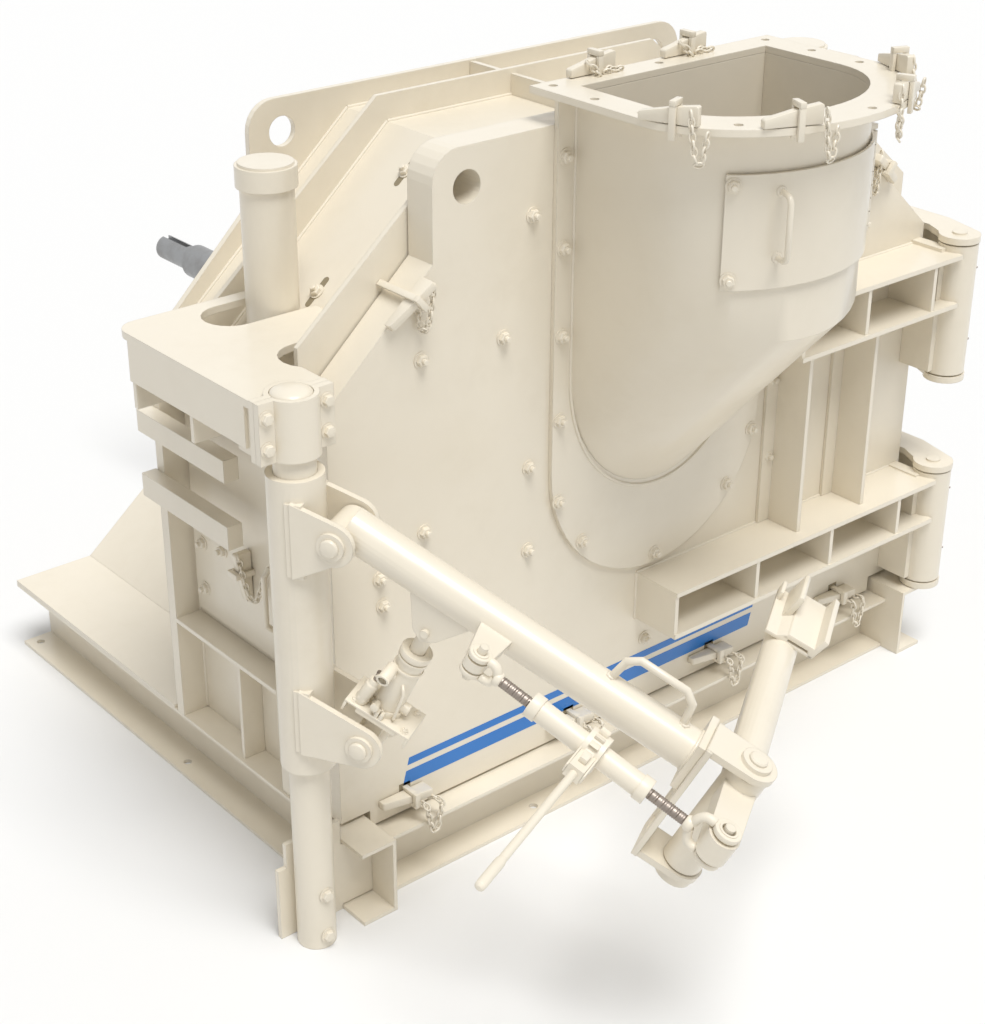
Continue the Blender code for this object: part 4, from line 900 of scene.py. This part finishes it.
class CRUSHER_OT_frame_finishes(bpy.types.Operator):
    """Gives every solid of the machine its paint or metal"""

    bl_idname = "crusher.frame_finishes"
    bl_label = "Paint and metal"

    def execute(self, context):
        for name, obj in frame["nodes"].items():
            chosen = NODE_FINISHES.get(name, "paint")
            for slot in obj.material_slots:
                slot.material = finish(chosen)
            if name in ROUND_NODES:
                copy = linked(name + "_smooth", plain_copy(name))
                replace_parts(dressed(copy, chosen, self.body_of(name), 33.0), name)
        return {"FINISHED"}

    def body_of(self, node):
        """Name of the body that carries the node."""
        holder = frame["nodes"][node].parent
        return next(name for name, obj in frame["bodies"].items() if obj == holder)


class CRUSHER_OT_door_bolts(bpy.types.Operator):
    """Bolts of the door and of the chute's mounting flange"""

    bl_idname = "crusher.door_bolts"
    bl_label = "Door bolts"

    def execute(self, context):
        pairs = [(0.518, 1.98), (0.622, 1.645), (0.915, 1.654)]
        pairs += [(0.522, 1.212), (0.912, 1.128), (0.522, 0.938)]
        spots = [(side * x, z) for x, z in pairs for side in SIDES]
        spots += [(-1.072, 1.032), (-1.063, 0.943), (-0.012, 0.44)]
        points = [((x, DOOR_FACE, z), OUT, 1.0) for x, z in spots]
        flange = [(side * 0.417, 2.13 - 0.2645 * level) for level in range(5) for side in SIDES]
        flange += arc((0.0, 1.17), (0.412, 0.412), 220.0, 320.0, 2)
        points += [((x, FLANGE_FACE, z), OUT, 1.0) for x, z in flange]
        bolts("door_bolts", "door", points)
        return {"FINISHED"}


class CRUSHER_OT_frame_bolts(bpy.types.Operator):
    """Bolts of the roof slopes, the side panels, the mast clamp, the foot bracket and the bearing"""

    bl_idname = "crusher.frame_bolts"
    bl_label = "Housing bolts"

    def execute(self, context):
        points = []
        slot_shade_sheets = Shape()
        outline = arc((0.042, 0.0), (0.011, 0.011), -90.0, 90.0, 9)
        outline += arc((-0.042, 0.0), (0.011, 0.011), 90.0, 270.0, 9)
        for side in SIDES:
            for x, y in ((0.621, 0.457), (0.948, 0.452), (0.775, 0.205), (1.06, 0.2)):
                spot, way = slope_point(side, x, y)
                down = (way.z * side, 0.0, -ROOF_RISE)
                # Thin dark sheet round each slope bolt: painted shade, standing in for the shadow inside
                # its slotted hole.
                slot_shade_sheets.prism(outline, "z", -0.001, 0.0005, standing(spot + way * 0.0005, way, down))
                points.append((spot + way * 0.0009, way, 0.95))
        side_spots = [(0.764, 0.885), (0.65, 0.905), (0.764, 0.727)]
        side_spots += [(0.76, 1.366), (0.71, 1.366), (0.6, 1.366)]
        for side in SIDES:
            face = side * (SHELL_HALF + 0.0143)
            points += [((face, y, z), (side, 0.0, 0.0), 0.95) for y, z in side_spots]
        bearing_low, bearing_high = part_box("bearing_cartridge")
        for y in (bearing_low.y + 0.06, bearing_high.y - 0.09):
            points += [((side * 0.215, y, bearing_low.z + 0.03), UP, 1.25) for side in SIDES]
        for x, z in arc((0.0, SHAFT_Z), (0.148, 0.148), 22.5, 337.5, 7):
            points.append(((x, 1.99, z), (0.0, 1.0, 0.0), 0.7))
        clamp = [(MAST.x + x, MAST.y - 0.0225, z) for x in (-0.093, 0.093) for z in (1.602, 1.688)]
        heads = [(spot, OUT, 0.9) for spot in clamp]
        heads += [((MAST.x, MAST.y - MAST_RADIUS + 0.00035, z), OUT, 0.95) for z in (0.187, 0.043)]
        bolts("mast_bolts", "frame", heads, stud=0.0004)
        bolts("housing_bolts", "frame", points)
        slot_shade_sheets.piece("slope_slot_shade", "slot", "frame")
        return {"FINISHED"}


class CRUSHER_OT_stripes(bpy.types.Operator):
    """Two blue stripes low on the door"""

    bl_idname = "crusher.stripes"
    bl_label = "Stripes"

    def execute(self, context):
        slant = context.scene.crusher_details.stripe_slant
        shape = Shape()
        left, right, foot = -1.006, 0.49, 0.3
        for low, high in ((foot, 0.347), (0.366, 0.391)):
            corners = ((left, low), (right, low), (right, high), (left, high))
            outline = [(x + (z - foot) * slant, z) for x, z in corners]
            shape.prism(outline, "y", DOOR_FACE - 0.0006, DOOR_FACE - 0.0001)
        shape.piece("door_stripes", "stripe", "door")
        return {"FINISHED"}


class CRUSHER_OT_chute_rim(bpy.types.Operator):
    """Top flange of the chute with its drilled holes"""

    bl_idname = "crusher.chute_rim"
    bl_label = "Drilled chute flange"

    def execute(self, context):
        rim = linked("chute_flange_drilled", plain_copy("chute_top_flange"))
        radius = context.scene.crusher_details.rim_hole
        drill = Shape()
        spots = [(x, 0.055) for x in (-0.42, -0.02, 0.42)]
        spots += [(side * 0.428, y) for side in SIDES for y in (-0.12, -0.3)]
        front = (222.0, 248.0, 280.0, 310.0)
        spots += [oval((0.0, -0.305), (0.425, 0.345), degrees) for degrees in front]
        profile = [(radius, RIM_LOW.z - 0.01), (radius, RIM_HIGH.z + 0.01)]
        for x, y in spots:
            drill.lathe(profile, 24, shifted(x, y))
        cut(rim, drill)
        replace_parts(dressed(rim, "paint", "door"), "chute_top_flange")
        return {"FINISHED"}


class CRUSHER_OT_rim_clamps(bpy.types.Operator):
    """Wedge clamps with their chains on the chute's top flange"""

    bl_idname = "crusher.rim_clamps"
    bl_label = "Chute clamps"

    def execute(self, context):
        shape = Shape()
        lines = []
        top = RIM_HIGH.z
        for degrees, turn in ((197.0, 1.0), (243.0, 1.0), (297.0, -1.0), (343.0, -1.0)):
            edge = Vector((*oval((0.0, -0.33), (0.47, 0.36), degrees), top))
            # Square to the oval: the same turn with its radii upside down.
            out = Vector((*oval((0.0, 0.0), (1.0 / 0.47, 1.0 / 0.36), degrees), 0.0)).normalized()
            along = Vector((-out.y, out.x, 0.0)) * turn
            tip = wedge_clamp(shape, standing(edge - out * 0.012, UP, along), 0.036)
            anchor = edge + out * 0.014 + along * 0.1 - UP * 0.012
            lines.append(hanging(tip + out * 0.026, anchor, 0.1))
        back = RIM_HIGH.y
        for x in (-0.24, 0.12):
            wedge_clamp(shape, standing((x, back - 0.012, top), UP, (1.0, 0.0, 0.0)), 0.024)
            heap = [Vector((x - 0.04, back - 0.03, top + 0.035))]
            for k in range(1, 9):
                sway = 0.034 + 0.014 * math.sin(1.9 * k)
                heap.append(Vector((x - 0.03 + 0.012 * k, back - sway, top + 0.008)))
            lines.append(heap)
        shape.piece("rim_clamps", "fitting_paint", "door", 0.0015)
        chains("rim_clamp_chains", "door", lines)
        return {"FINISHED"}


class CRUSHER_OT_door_clamps(bpy.types.Operator):
    """Wedge clamps with their chains that hold the door to the housing"""

    bl_idname = "crusher.door_clamps"
    bl_label = "Door clamps"

    def execute(self, context):
        shape = Shape()
        slot_shade_sheets = Shape()
        lines = []
        for side in SIDES:
            edge = Vector((side * 0.955, DOOR_FACE, 1.843))
            along = (-side * 0.385, 0.0, 0.328)
            tip = wedge_clamp(shape, standing(edge, OUT, along), 0.11)
            lines.append(hanging(tip, edge + Vector((-side * 0.02, -0.012, -0.02)), 0.1))
        clear = CROSS_FACE - 0.014
        level = 0.262
        for x in (-1.0, -0.34, 0.3, 0.93):
            place = standing((x, DOOR_FACE, 0.275), OUT, (1.0, 0.0, 0.0))
            tip = wedge_clamp(shape, place)
            low = (x - 0.021, DOOR_FACE - 0.0006, 0.244)
            # Thin dark sheet on the door face behind each foot clamp: painted shade, standing in for the
            # shadow inside the strap's slot.
            slot_shade_sheets.box(low, (x + 0.021, DOOR_FACE - 0.0001, 0.309))
            loop = hanging((tip.x + 0.012, clear, level), (x + 0.016, clear, level), 0.1)
            lines.append([tip, *loop, Vector((x + 0.014, DOOR_FACE - 0.05, level))])
        shape.piece("door_clamps", "fitting_paint", "door", 0.0015)
        chains("door_clamp_chains", "door", lines)
        slot_shade_sheets.piece("door_foot_slot_shade", "slot", "door")
        shape = Shape()
        lines = []
        for side in SIDES:
            place = standing((side * (SHELL_HALF + 0.0147), 0.5, 0.905), (side, 0.0, 0.0), UP)
            wedge_clamp(shape, place)
            lines.append(hanging((side * 1.244, 0.484, 0.966), (side * 1.21, 0.415, 0.9), 0.1))
        shape.piece("side_clamps", "fitting_paint", "frame", 0.0015)
        chains("side_clamp_chains", "frame", lines)
        return {"FINISHED"}


class CRUSHER_OT_hatch(bpy.types.Operator):
    """Hatch on the chute's front with its handle, long hinge and bolts, and the hole behind it"""

    bl_idname = "crusher.hatch"
    bl_label = "Chute hatch"

    def execute(self, context):
        low, high = HATCH_BOTTOM, HATCH_TOP
        hinge = shifted(CHUTE_HALF + 0.012, CHUTE_STRAIGHT - 0.12)
        hatch = Shape()
        hatch.round_the_chute((0.0055, 0.0135), -49.0, 62.0, low, high)
        tab = [(-0.056, -0.024), (-0.046, -0.034), (-0.009, -0.013), (-0.0125, -0.0045)]
        hatch.prism(tab, "z", low + 0.03, high - 0.03, hinge)
        knuckles = 7
        pitch = (high - low - 0.044) / knuckles
        for k in range(knuckles):
            start = low + 0.022 + k * pitch
            hatch.ring(0.0068, 0.0132, start + 0.0011, start + pitch - 0.0011, 22, hinge)
        self.add_handle(hatch, low, high)
        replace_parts(hatch.piece("hatch_plate", "paint", "hatch", smooth=40.0), "chute_hatch")
        x, y, out = self.front_at(-45.5, 0.0135)
        bolts("hatch_bolts", "hatch", [((x, y, z), out, 0.95) for z in (high - 0.03, low + 0.03)])
        chute = linked("feed_chute_with_manhole", plain_copy("feed_chute"))
        hole = Shape()
        hole.round_the_chute((-0.05, 0.0035), -41.0, 56.0, low + 0.05, high - 0.05, 24)
        dressed(cut(chute, hole), "paint", "door", 40.0)
        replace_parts(chute, "feed_chute")
        return {"FINISHED"}

    def front_at(self, degrees, grow):
        """(x, y, outward way) on the chute's front, that far round from straight ahead."""
        angle = math.radians(-90.0 + degrees)
        out = Vector((math.cos(angle) / CHUTE_HALF, math.sin(angle) / CHUTE_BULGE, 0.0))
        return (*chute_front(angle, grow), out.normalized())

    def add_handle(self, hatch, low, high):
        """Bent round bar that stands off the plate between two feet."""
        x, y, out = self.front_at(-25.0, 0.0125)
        foot, head = low + 0.088, high - 0.05
        rise = [(-0.004, 0.0), (0.036, 0.0), (0.05, 0.005), (0.058, 0.02)]
        line = [Vector((x, y, foot + up)) + out * reach for reach, up in rise]
        line += [Vector((x, y, head - up)) + out * reach for reach, up in reversed(rise)]
        hatch.tube(line, 0.0085, 14)
        for z in (foot, head):
            place = standing((x, y, z), out, UP)
            hatch.lathe([(0.0155, 0.0), (0.0145, 0.004), (0.0085, 0.0075)], 18, place)


class CRUSHER_OT_grease_points(bpy.types.Operator):
    """Grease nipples of the hinge barrels"""

    bl_idname = "crusher.grease_points"
    bl_label = "Grease nipples"

    def execute(self, context):
        profile = [(0.0065, 0.0), (0.0065, 0.006), (0.0035, 0.0075), (0.0035, 0.011)]
        profile += [(0.0046, 0.013), (0.0046, 0.015), (0.002, 0.018)]
        way = Vector((0.93, -0.36, 0.0)).normalized()
        shape = Shape()
        for low, high in ((1.09, 1.551), (0.285, 0.716)):
            for share in (0.22, 0.78):
                spot = HINGE + way * 0.0665 + UP * (low + (high - low) * share)
                shape.lathe(profile, 12, standing(spot, way, UP))
        shape.piece("hinge_grease_nipples", "thread", "door")
        return {"FINISHED"}


class CRUSHER_OT_pin_caps(bpy.types.Operator):
    """Domed ends of the jib's pins"""

    bl_idname = "crusher.pin_caps"
    bl_label = "Pin ends"

    def execute(self, context):
        shape = Shape()
        dome = [(0.0255, 0.0), (0.0255, 0.004), (0.022, 0.008), (0.012, 0.0105), (0.002, 0.0112)]
        for reach, height in (EAR_PIN, JACK_PIN):
            for side in SIDES:
                centre = jib_plane(reach, height) @ Vector((0.0, side * 0.0998, 0.0))
                shape.lathe(dome, 28, standing(centre, ACROSS * side, HEADING))
        shape.piece("ear_pin_ends", "fitting_paint", "jib")
        shape = Shape()
        shape.lathe(dome, 28, boom_place() @ shifted(*KNUCKLE_TOP))
        shape.piece("knuckle_pin_end", "fitting_paint", "boom")
        return {"FINISHED"}


class CRUSHER_OT_turnbuckle_details(bpy.types.Operator):
    """Forks, threads, end rings, ratchet teeth, pawl and handle knob of the turnbuckle"""

    bl_idname = "crusher.turnbuckle_details"
    bl_label = "Turnbuckle"

    def execute(self, context):
        place, run = turnbuckle_place()
        self.add_fork(place, "near_fork", "near_clevis", 1.0, NEAR_FORK, (0.07, 0.31))
        far_end = place @ shifted(run)
        self.add_fork(far_end, "far_fork", "far_clevis", -1.0, FAR_FORK, (0.08, run - 0.42))
        pitch = context.scene.crusher_details.thread_pitch
        way = place.to_3x3() @ Vector((1.0, 0.0, 0.0))
        for body, start, end in (("near", 0.079, 0.1695), ("far", 0.5305, run - 0.0935)):
            values = {"Radius": THREAD_CORE, "Pitch": pitch, "Length": end - start}
            points = [(place @ Vector((start, 0.0, 0.0)), way, 1.0)]
            name, recipe = body + "_stud_thread", recipe_for("thread")
            grown(name, recipe, values, body + "_clevis", "thread", points=points, smooth=40.0)
        shape = Shape()
        for start, end in ((0.17, 0.2), (0.5, 0.53)):
            shape.ring(0.0301, 0.0345, start, end, 30, place @ turned(90.0, "Y"))
        ratchet = place @ shifted(RATCHET)
        tooth = [(0.0515, -0.009), (0.0515, 0.0085), (0.0625, 0.0085), (0.058, 0.001)]
        teeth = 14
        for k in range(teeth):
            shape.prism(tooth, "x", -0.0135, 0.0135, ratchet @ turned(360.0 * k / teeth, "X"))
        cheek = [(-0.045, 0.024), (-0.045, -0.024), (-0.12, -0.013), (-0.12, 0.013)]
        for side in SIDES:
            shape.prism(cheek, "x", *sorted((side * 0.0225, side * 0.0275)), ratchet)
        shape.box((-0.01, -0.094, 0.021), (0.01, -0.06, 0.036), ratchet)
        knob = [(0.006, -0.64), (0.0125, -0.634), (0.0135, -0.62), (0.0135, -0.53), (0.0115, -0.52)]
        shape.lathe(knob, 18, ratchet @ turned(-90.0, "X"))
        shape.piece("ratchet_teeth", "pale_paint", "buckle", 0.0008)
        return {"FINISHED"}

    def add_fork(self, pin, name, body, sign, sizes, stud):
        """Forged fork round a pin: two eyes, the arms that swing in from them, and the shank."""
        inner, outer, radius, hole, neck = sizes
        bend = ((0.6, 1.0), (0.85, 1.02), (1.02, 0.96), (1.16, 0.8), (1.27, 0.55), (1.34, 0.2))
        middle = (inner + outer) / 2.0
        fork = Shape()
        for side in SIDES:
            fork.ring(hole, radius, *sorted((side * inner, side * outer)), 32, pin)
            boss = sorted((side * outer, side * (outer + 0.0025)))
            fork.ring(hole, radius * 0.72, *boss, 32, pin)
            arm = [(sign * neck * reach * 0.78, 0.0, side * middle * share) for reach, share in bend]
            fork.tube(arm, 0.0128, 14, pin)
        along = pin @ turned(sign * 90.0, "Y")
        shank = [(0.013, 0.95), (0.0185, 1.0), (0.021, 1.1), (0.0195, 1.22), (0.0165, 1.3)]
        fork.lathe([(wide, neck * share) for wide, share in shank], 24, along)
        fork.lathe([(0.0135, reach) for reach in stud], 20, along)
        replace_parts(fork.piece(name, "pale_paint", body, 0.0012, 50.0), "turnbuckle_" + body)


class CRUSHER_OT_jack_details(bpy.types.Operator):
    """Gland, rings, pump, valve, pipe, bolts and mounting channel of the hand jack"""

    bl_idname = "crusher.jack_details"
    bl_label = "Hand jack"

    def execute(self, context):
        place = jack_place()
        shape = Shape()
        for inner, outer, low, high in (
            (0.0225, 0.0395, 0.2622, 0.318),
            (0.0392, 0.0432, 0.252, 0.2605),
            (0.0392, 0.0432, 0.286, 0.294),
            (0.0392, 0.0445, 0.3, 0.3185),
            (0.04, 0.046, 0.098, 0.118),
        ):
            shape.ring(inner, outer, low, high, 30, place)
        for left in (-0.012, 0.002):
            shape.box((left, -0.062, 0.098), (left + 0.01, -0.038, 0.118), place)
        pump = place @ shifted(-0.066, -0.036, 0.1) @ Matrix.Rotation(0.12, 4, "Y")
        self.add_pump(shape, pump)
        valve = place @ shifted(-0.02, -0.05, 0.128) @ Matrix.Rotation(1.57, 4, "X")
        knob = [(0.009, -0.012), (0.009, 0.006), (0.012, 0.008), (0.012, 0.018), (0.007, 0.02)]
        shape.lathe(knob, 14, valve)
        shape.box((-0.1, -0.064, 0.0925), (0.1, 0.064, 0.0985), place)
        for low in (-0.1, 0.092):
            shape.box((low, -0.064, 0.062), (low + 0.008, 0.064, 0.0925), place)
        pipe = [(0.034, -0.03, 0.1), (0.036, -0.042, 0.112), (0.036, -0.046, 0.13)]
        pipe += [(0.03, -0.0455, 0.2), (0.022, -0.044, 0.214), (0.014, -0.034, 0.22)]
        shape.tube(pipe, 0.0045, 12, place)
        shape.piece("jack_fittings", "pale_paint", "jack", 0.0009, 40.0)
        turn = place.to_3x3()
        corners = [(x, y, 0.0986) for x in (-0.078, 0.078) for y in (-0.045, 0.045)]
        spots = [(place @ Vector(corner), turn @ UP, 0.5) for corner in corners]
        clamp = place @ Vector((-0.0122, -0.053, 0.108))
        spots.append((clamp, turn @ Vector((-1.0, 0.0, 0.0)), 0.38))
        bolts("jack_bolts", "jack", spots, "pale_paint")
        steel = Shape()
        steel.lathe([(0.0085, 0.088), (0.0085, 0.118)], 16, pump)
        steel.ring(0.0068, 0.0105, 0.112, 0.1165, 16, pump)
        steel.piece("jack_plunger", "thread", "jack")
        return {"FINISHED"}

    def add_pump(self, shape, pump):
        """Pump beside the cylinder, its plunger's yoke and the open socket for a lever."""
        barrel = [(0.0165, -0.002), (0.0185, 0.003), (0.0185, 0.07), (0.0145, 0.075), (0.0145, 0.09)]
        shape.lathe(barrel, 20, pump)
        shape.lathe([(0.0205, 0.012), (0.0205, 0.022)], 6, pump)
        yoke = [(-0.009, 0.106), (0.009, 0.106), (0.04, 0.142), (0.03, 0.156), (0.008, 0.134)]
        for side in SIDES:
            shape.prism(yoke, "y", *sorted((side * 0.009, side * 0.0135)), pump)
        socket = pump @ shifted(0.016, -0.012, 0.147) @ Matrix.Rotation(1.9, 4, "X")
        shape.ring(0.0125, 0.0172, -0.022, 0.036, 22, socket)
        shape.ring(0.0125, 0.0192, 0.03, 0.037, 22, socket)


class CRUSHER_OT_saddle(bpy.types.Operator):
    """Tray of bent plate that lies on the end of the crank's stick"""

    bl_idname = "crusher.saddle"
    bl_label = "Cradle saddle"

    def execute(self, context):
        shape = Shape()
        stick = boom_place() @ shifted(STICK_X, 0.0, LIFT)
        shape.tube([(0.0052, 0.66, 0.0), (-0.0066, 0.83, 0.0)], STICK_RADIUS, 40, stick)
        place = stick @ shifted(-0.06, 0.605, 0.047) @ turned(4.0, "Z")
        lower = [(0.0, -0.004), (0.152, -0.004), (0.152, 0.006), (0.068, 0.006), (0.068, 0.015)]
        lower += [(0.056, 0.026), (0.034, 0.008), (0.0, 0.008)]
        upper = [(0.05, 0.014), (0.13, 0.014), (0.139, -0.004), (0.152, -0.004), (0.168, 0.067)]
        upper += [(0.151, 0.072), (0.143, 0.031), (0.062, 0.031)]
        lug = [(0.03, 0.0), (0.052, 0.0), (0.06, 0.084), (0.052, 0.092), (0.043, 0.088)]
        wing = [(0.0, 0.0), (0.012, 0.0), (0.012, 0.036), (0.0, 0.036)]
        far = 0.235
        for outline, near in ((lower, 0.0), (upper, 0.0), (lug, 0.105), (wing, 0.17)):
            shape.prism(outline, "y", near, far, place)
        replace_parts(shape.piece("saddle_plate", "paint", "crank", 0.002), "cradle_saddle")
        return {"FINISHED"}


class CRUSHER_OT_weld_beads(bpy.types.Operator):
    """Weld beads where plates of the door, the housing and the jib meet"""

    bl_idname = "crusher.weld_beads"
    bl_label = "Weld beads"

    def execute(self, context):
        welds("door_welds", "door", self.door_lines())
        welds("housing_welds", "frame", self.housing_lines())
        welds("boom_welds", "boom", self.boom_lines())
        return {"FINISHED"}

    def door_lines(self):
        """Round the hinge arms' feet, the chute's landing on its flange and under its rim."""
        face = DOOR_FACE - 0.001
        flange = FLANGE_FACE - 0.001
        under = RIM_LOW.z - 0.001
        right = HINGE.x - 0.055
        lines = []
        for left, low, high in ((0.449, 1.343, 1.529), (-0.06, 0.534, 0.7)):
            lines.append([(left, face, high), (right, face, high)])
            lines.append([(left, face, low), (right, face, low)])
            lines.append([(left, face, low), (left, face, high)])
        start, end = (-CHUTE_HALF, flange, 2.29), (CHUTE_HALF, flange, 2.29)
        landing = arc((0.0, 1.4622), (CHUTE_HALF, 0.4482), 180.0, 360.0, 32)
        lines.append([start, *[(x, flange, z) for x, z in landing], end])
        collar = arc((0.0, CHUTE_STRAIGHT), (CHUTE_HALF, CHUTE_BULGE), 180.0, 360.0, 32)
        start, end = (-CHUTE_HALF, flange, under), (CHUTE_HALF, flange, under)
        lines.append([start, *[(x, y, under) for x, y in collar], end])
        return lines

    def housing_lines(self):
        """Up the side posts, over the roof's ribs, down the pedestal and along the left deck."""
        lines = []
        ribs = (0.669, 0.687, 0.868)
        roof = SHOULDER_Z + ROOF_RISE + 0.001
        for side in SIDES:
            x = side * (SHELL_HALF + 0.0005)
            for y in (0.2865, 0.831):
                lines.append([(x, y, 0.26), (x, y, 1.48)])
            for y in ribs:
                foot = (side * (SHELL_HALF + 0.001), y, SHOULDER_Z)
                lines.append([foot, (side * ROOF_HALF, y, roof)])
            lines.append([(side * 0.97, 0.893, 0.268), (side * 0.32, 0.893, 0.802)])
        for y in ribs:
            lines.append([(-ROOF_HALF, y, roof), (ROOF_HALF, y, roof)])
        lines.append([(-1.158, 0.12, 0.255), (-1.158, 0.84, 0.255)])
        return lines

    def boom_lines(self):
        """Round the boom's far end and the feet of its handle."""
        boom = boom_place()
        ring = arc((0.0, LIFT), (0.0572, 0.0572), 0.0, 360.0, 24)
        lines = [[boom @ Vector((1.0455, y, z)) for y, z in ring]]
        for foot in (0.7725, 0.9925):
            loop = arc((foot, 0.0), (0.011, 0.011), 0.0, 360.0, 12)
            lines.append([boom @ Vector((x, y, 0.0805)) for x, y in loop])
        return lines


class CRUSHER_OT_stage(bpy.types.Operator):
    """Pale floor, white surroundings, a soft lamp overhead and the camera"""

    bl_idname = "crusher.stage"
    bl_label = "Stage"

    def execute(self, context):
        scene = context.scene
        settings = scene.crusher_stage
        scene.view_settings.view_transform = "Standard"
        size = 40.0
        mesh = bpy.data.meshes.new("floor")
        corners = [(x * size, y * size, -0.0006) for x, y in ((-1, -1), (1, -1), (1, 1), (-1, 1))]
        mesh.from_pydata(corners, [], [(0, 1, 2, 3)])
        floor = linked("floor", mesh)
        material, _, shader = shader_graph("pale_floor")
        shader.inputs["Base Color"].default_value = (*settings.floor_colour, 1.0)
        shader.inputs["Roughness"].default_value = 0.9
        floor.data.materials.append(material)
        scene.world = bpy.data.worlds.new("white_room")
        scene.world.use_nodes = True
        graph = Graph(scene.world.node_tree)
        shown = graph.node("ShaderNodeLightPath", output="Is Camera Ray")
        for label in ("Is Glossy Ray", "Is Transmission Ray"):
            ray = graph.node("ShaderNodeLightPath", output=label)
            shown = graph.node("ShaderNodeMath", {"operation": "MAXIMUM"}, {0: shown, 1: ray})
        back = graph.tree.nodes["Background"]
        back.inputs["Color"].default_value = (1.0, 1.0, 1.0, 1.0)
        graph.feed(back.inputs["Strength"], settings.sky + shown * (1.0 - settings.sky))
        lamp = bpy.data.lights.new("overhead_lamp", "SUN")
        lamp.energy = settings.overhead
        lamp.angle = settings.softness
        obj = bpy.data.objects.new("overhead_lamp", lamp)
        obj.rotation_euler = Vector((0.06, 0.36, -0.93)).to_track_quat("-Z", "Y").to_euler()
        scene.collection.objects.link(obj)
        self.add_camera(scene, settings)
        return {"FINISHED"}

    def add_camera(self, scene, settings):
        """The camera at the photograph's place, turned to the right of +Y and down."""
        yaw = math.radians(40.048)
        pitch = math.radians(26.935)
        roll = math.radians(0.206)
        ahead = Vector(
            (math.sin(yaw) * math.cos(pitch), math.cos(yaw) * math.cos(pitch), -math.sin(pitch))
        )
        right = ahead.cross(UP).normalized()
        up = right.cross(ahead)
        across = right * math.cos(roll) + up * math.sin(roll)
        upright = up * math.cos(roll) - right * math.sin(roll)
        rows = [[across[i], upright[i], -ahead[i]] for i in range(3)]
        data = bpy.data.cameras.new("camera")
        data.lens = settings.focal_length
        data.sensor_width = 36.0
        data.clip_end = 200.0
        camera = bpy.data.objects.new("camera", data)
        camera.matrix_world = shifted(-3.875, -3.806, 3.649) @ Matrix(rows).to_4x4()
        scene.collection.objects.link(camera)
        scene.camera = camera


PIECES = (
    CRUSHER_OT_frame_finishes,
    CRUSHER_OT_door_bolts,
    CRUSHER_OT_frame_bolts,
    CRUSHER_OT_stripes,
    CRUSHER_OT_chute_rim,
    CRUSHER_OT_rim_clamps,
    CRUSHER_OT_door_clamps,
    CRUSHER_OT_hatch,
    CRUSHER_OT_grease_points,
    CRUSHER_OT_pin_caps,
    CRUSHER_OT_turnbuckle_details,
    CRUSHER_OT_jack_details,
    CRUSHER_OT_saddle,
    CRUSHER_OT_weld_beads,
    CRUSHER_OT_stage,
)
GROUPS = {
    "crusher_finish": FinishSettings,
    "crusher_fasteners": FastenerSettings,
    "crusher_clamps": ClampSettings,
    "crusher_details": DetailSettings,
    "crusher_stage": StageSettings,
}


class CRUSHER_PT_sidebar(bpy.types.Panel):
    """Lists the crusher's pieces and their sizes and colours"""

    bl_idname = "CRUSHER_PT_sidebar"
    bl_label = "Crusher"
    bl_space_type = "VIEW_3D"
    bl_region_type = "UI"
    bl_category = "Crusher"

    def draw(self, context):
        for operator in PIECES:
            self.layout.operator(operator.bl_idname)
        for attribute, group in GROUPS.items():
            box = self.layout.box()
            for label in group.__annotations__:
                box.prop(getattr(context.scene, attribute), label)


def register():
    for cls in (*GROUPS.values(), *PIECES, CRUSHER_PT_sidebar):
        bpy.utils.register_class(cls)
    for attribute, group in GROUPS.items():
        setattr(bpy.types.Scene, attribute, bpy.props.PointerProperty(type=group))


def unregister():
    for attribute in GROUPS:
        delattr(bpy.types.Scene, attribute)
    for cls in (CRUSHER_PT_sidebar, *reversed(PIECES), *GROUPS.values()):
        bpy.utils.unregister_class(cls)


def main():
    register()
    for operator in PIECES:
        group, name = operator.bl_idname.split(".")
        getattr(getattr(bpy.ops, group), name)()


if __name__ == "__main__":
    main()
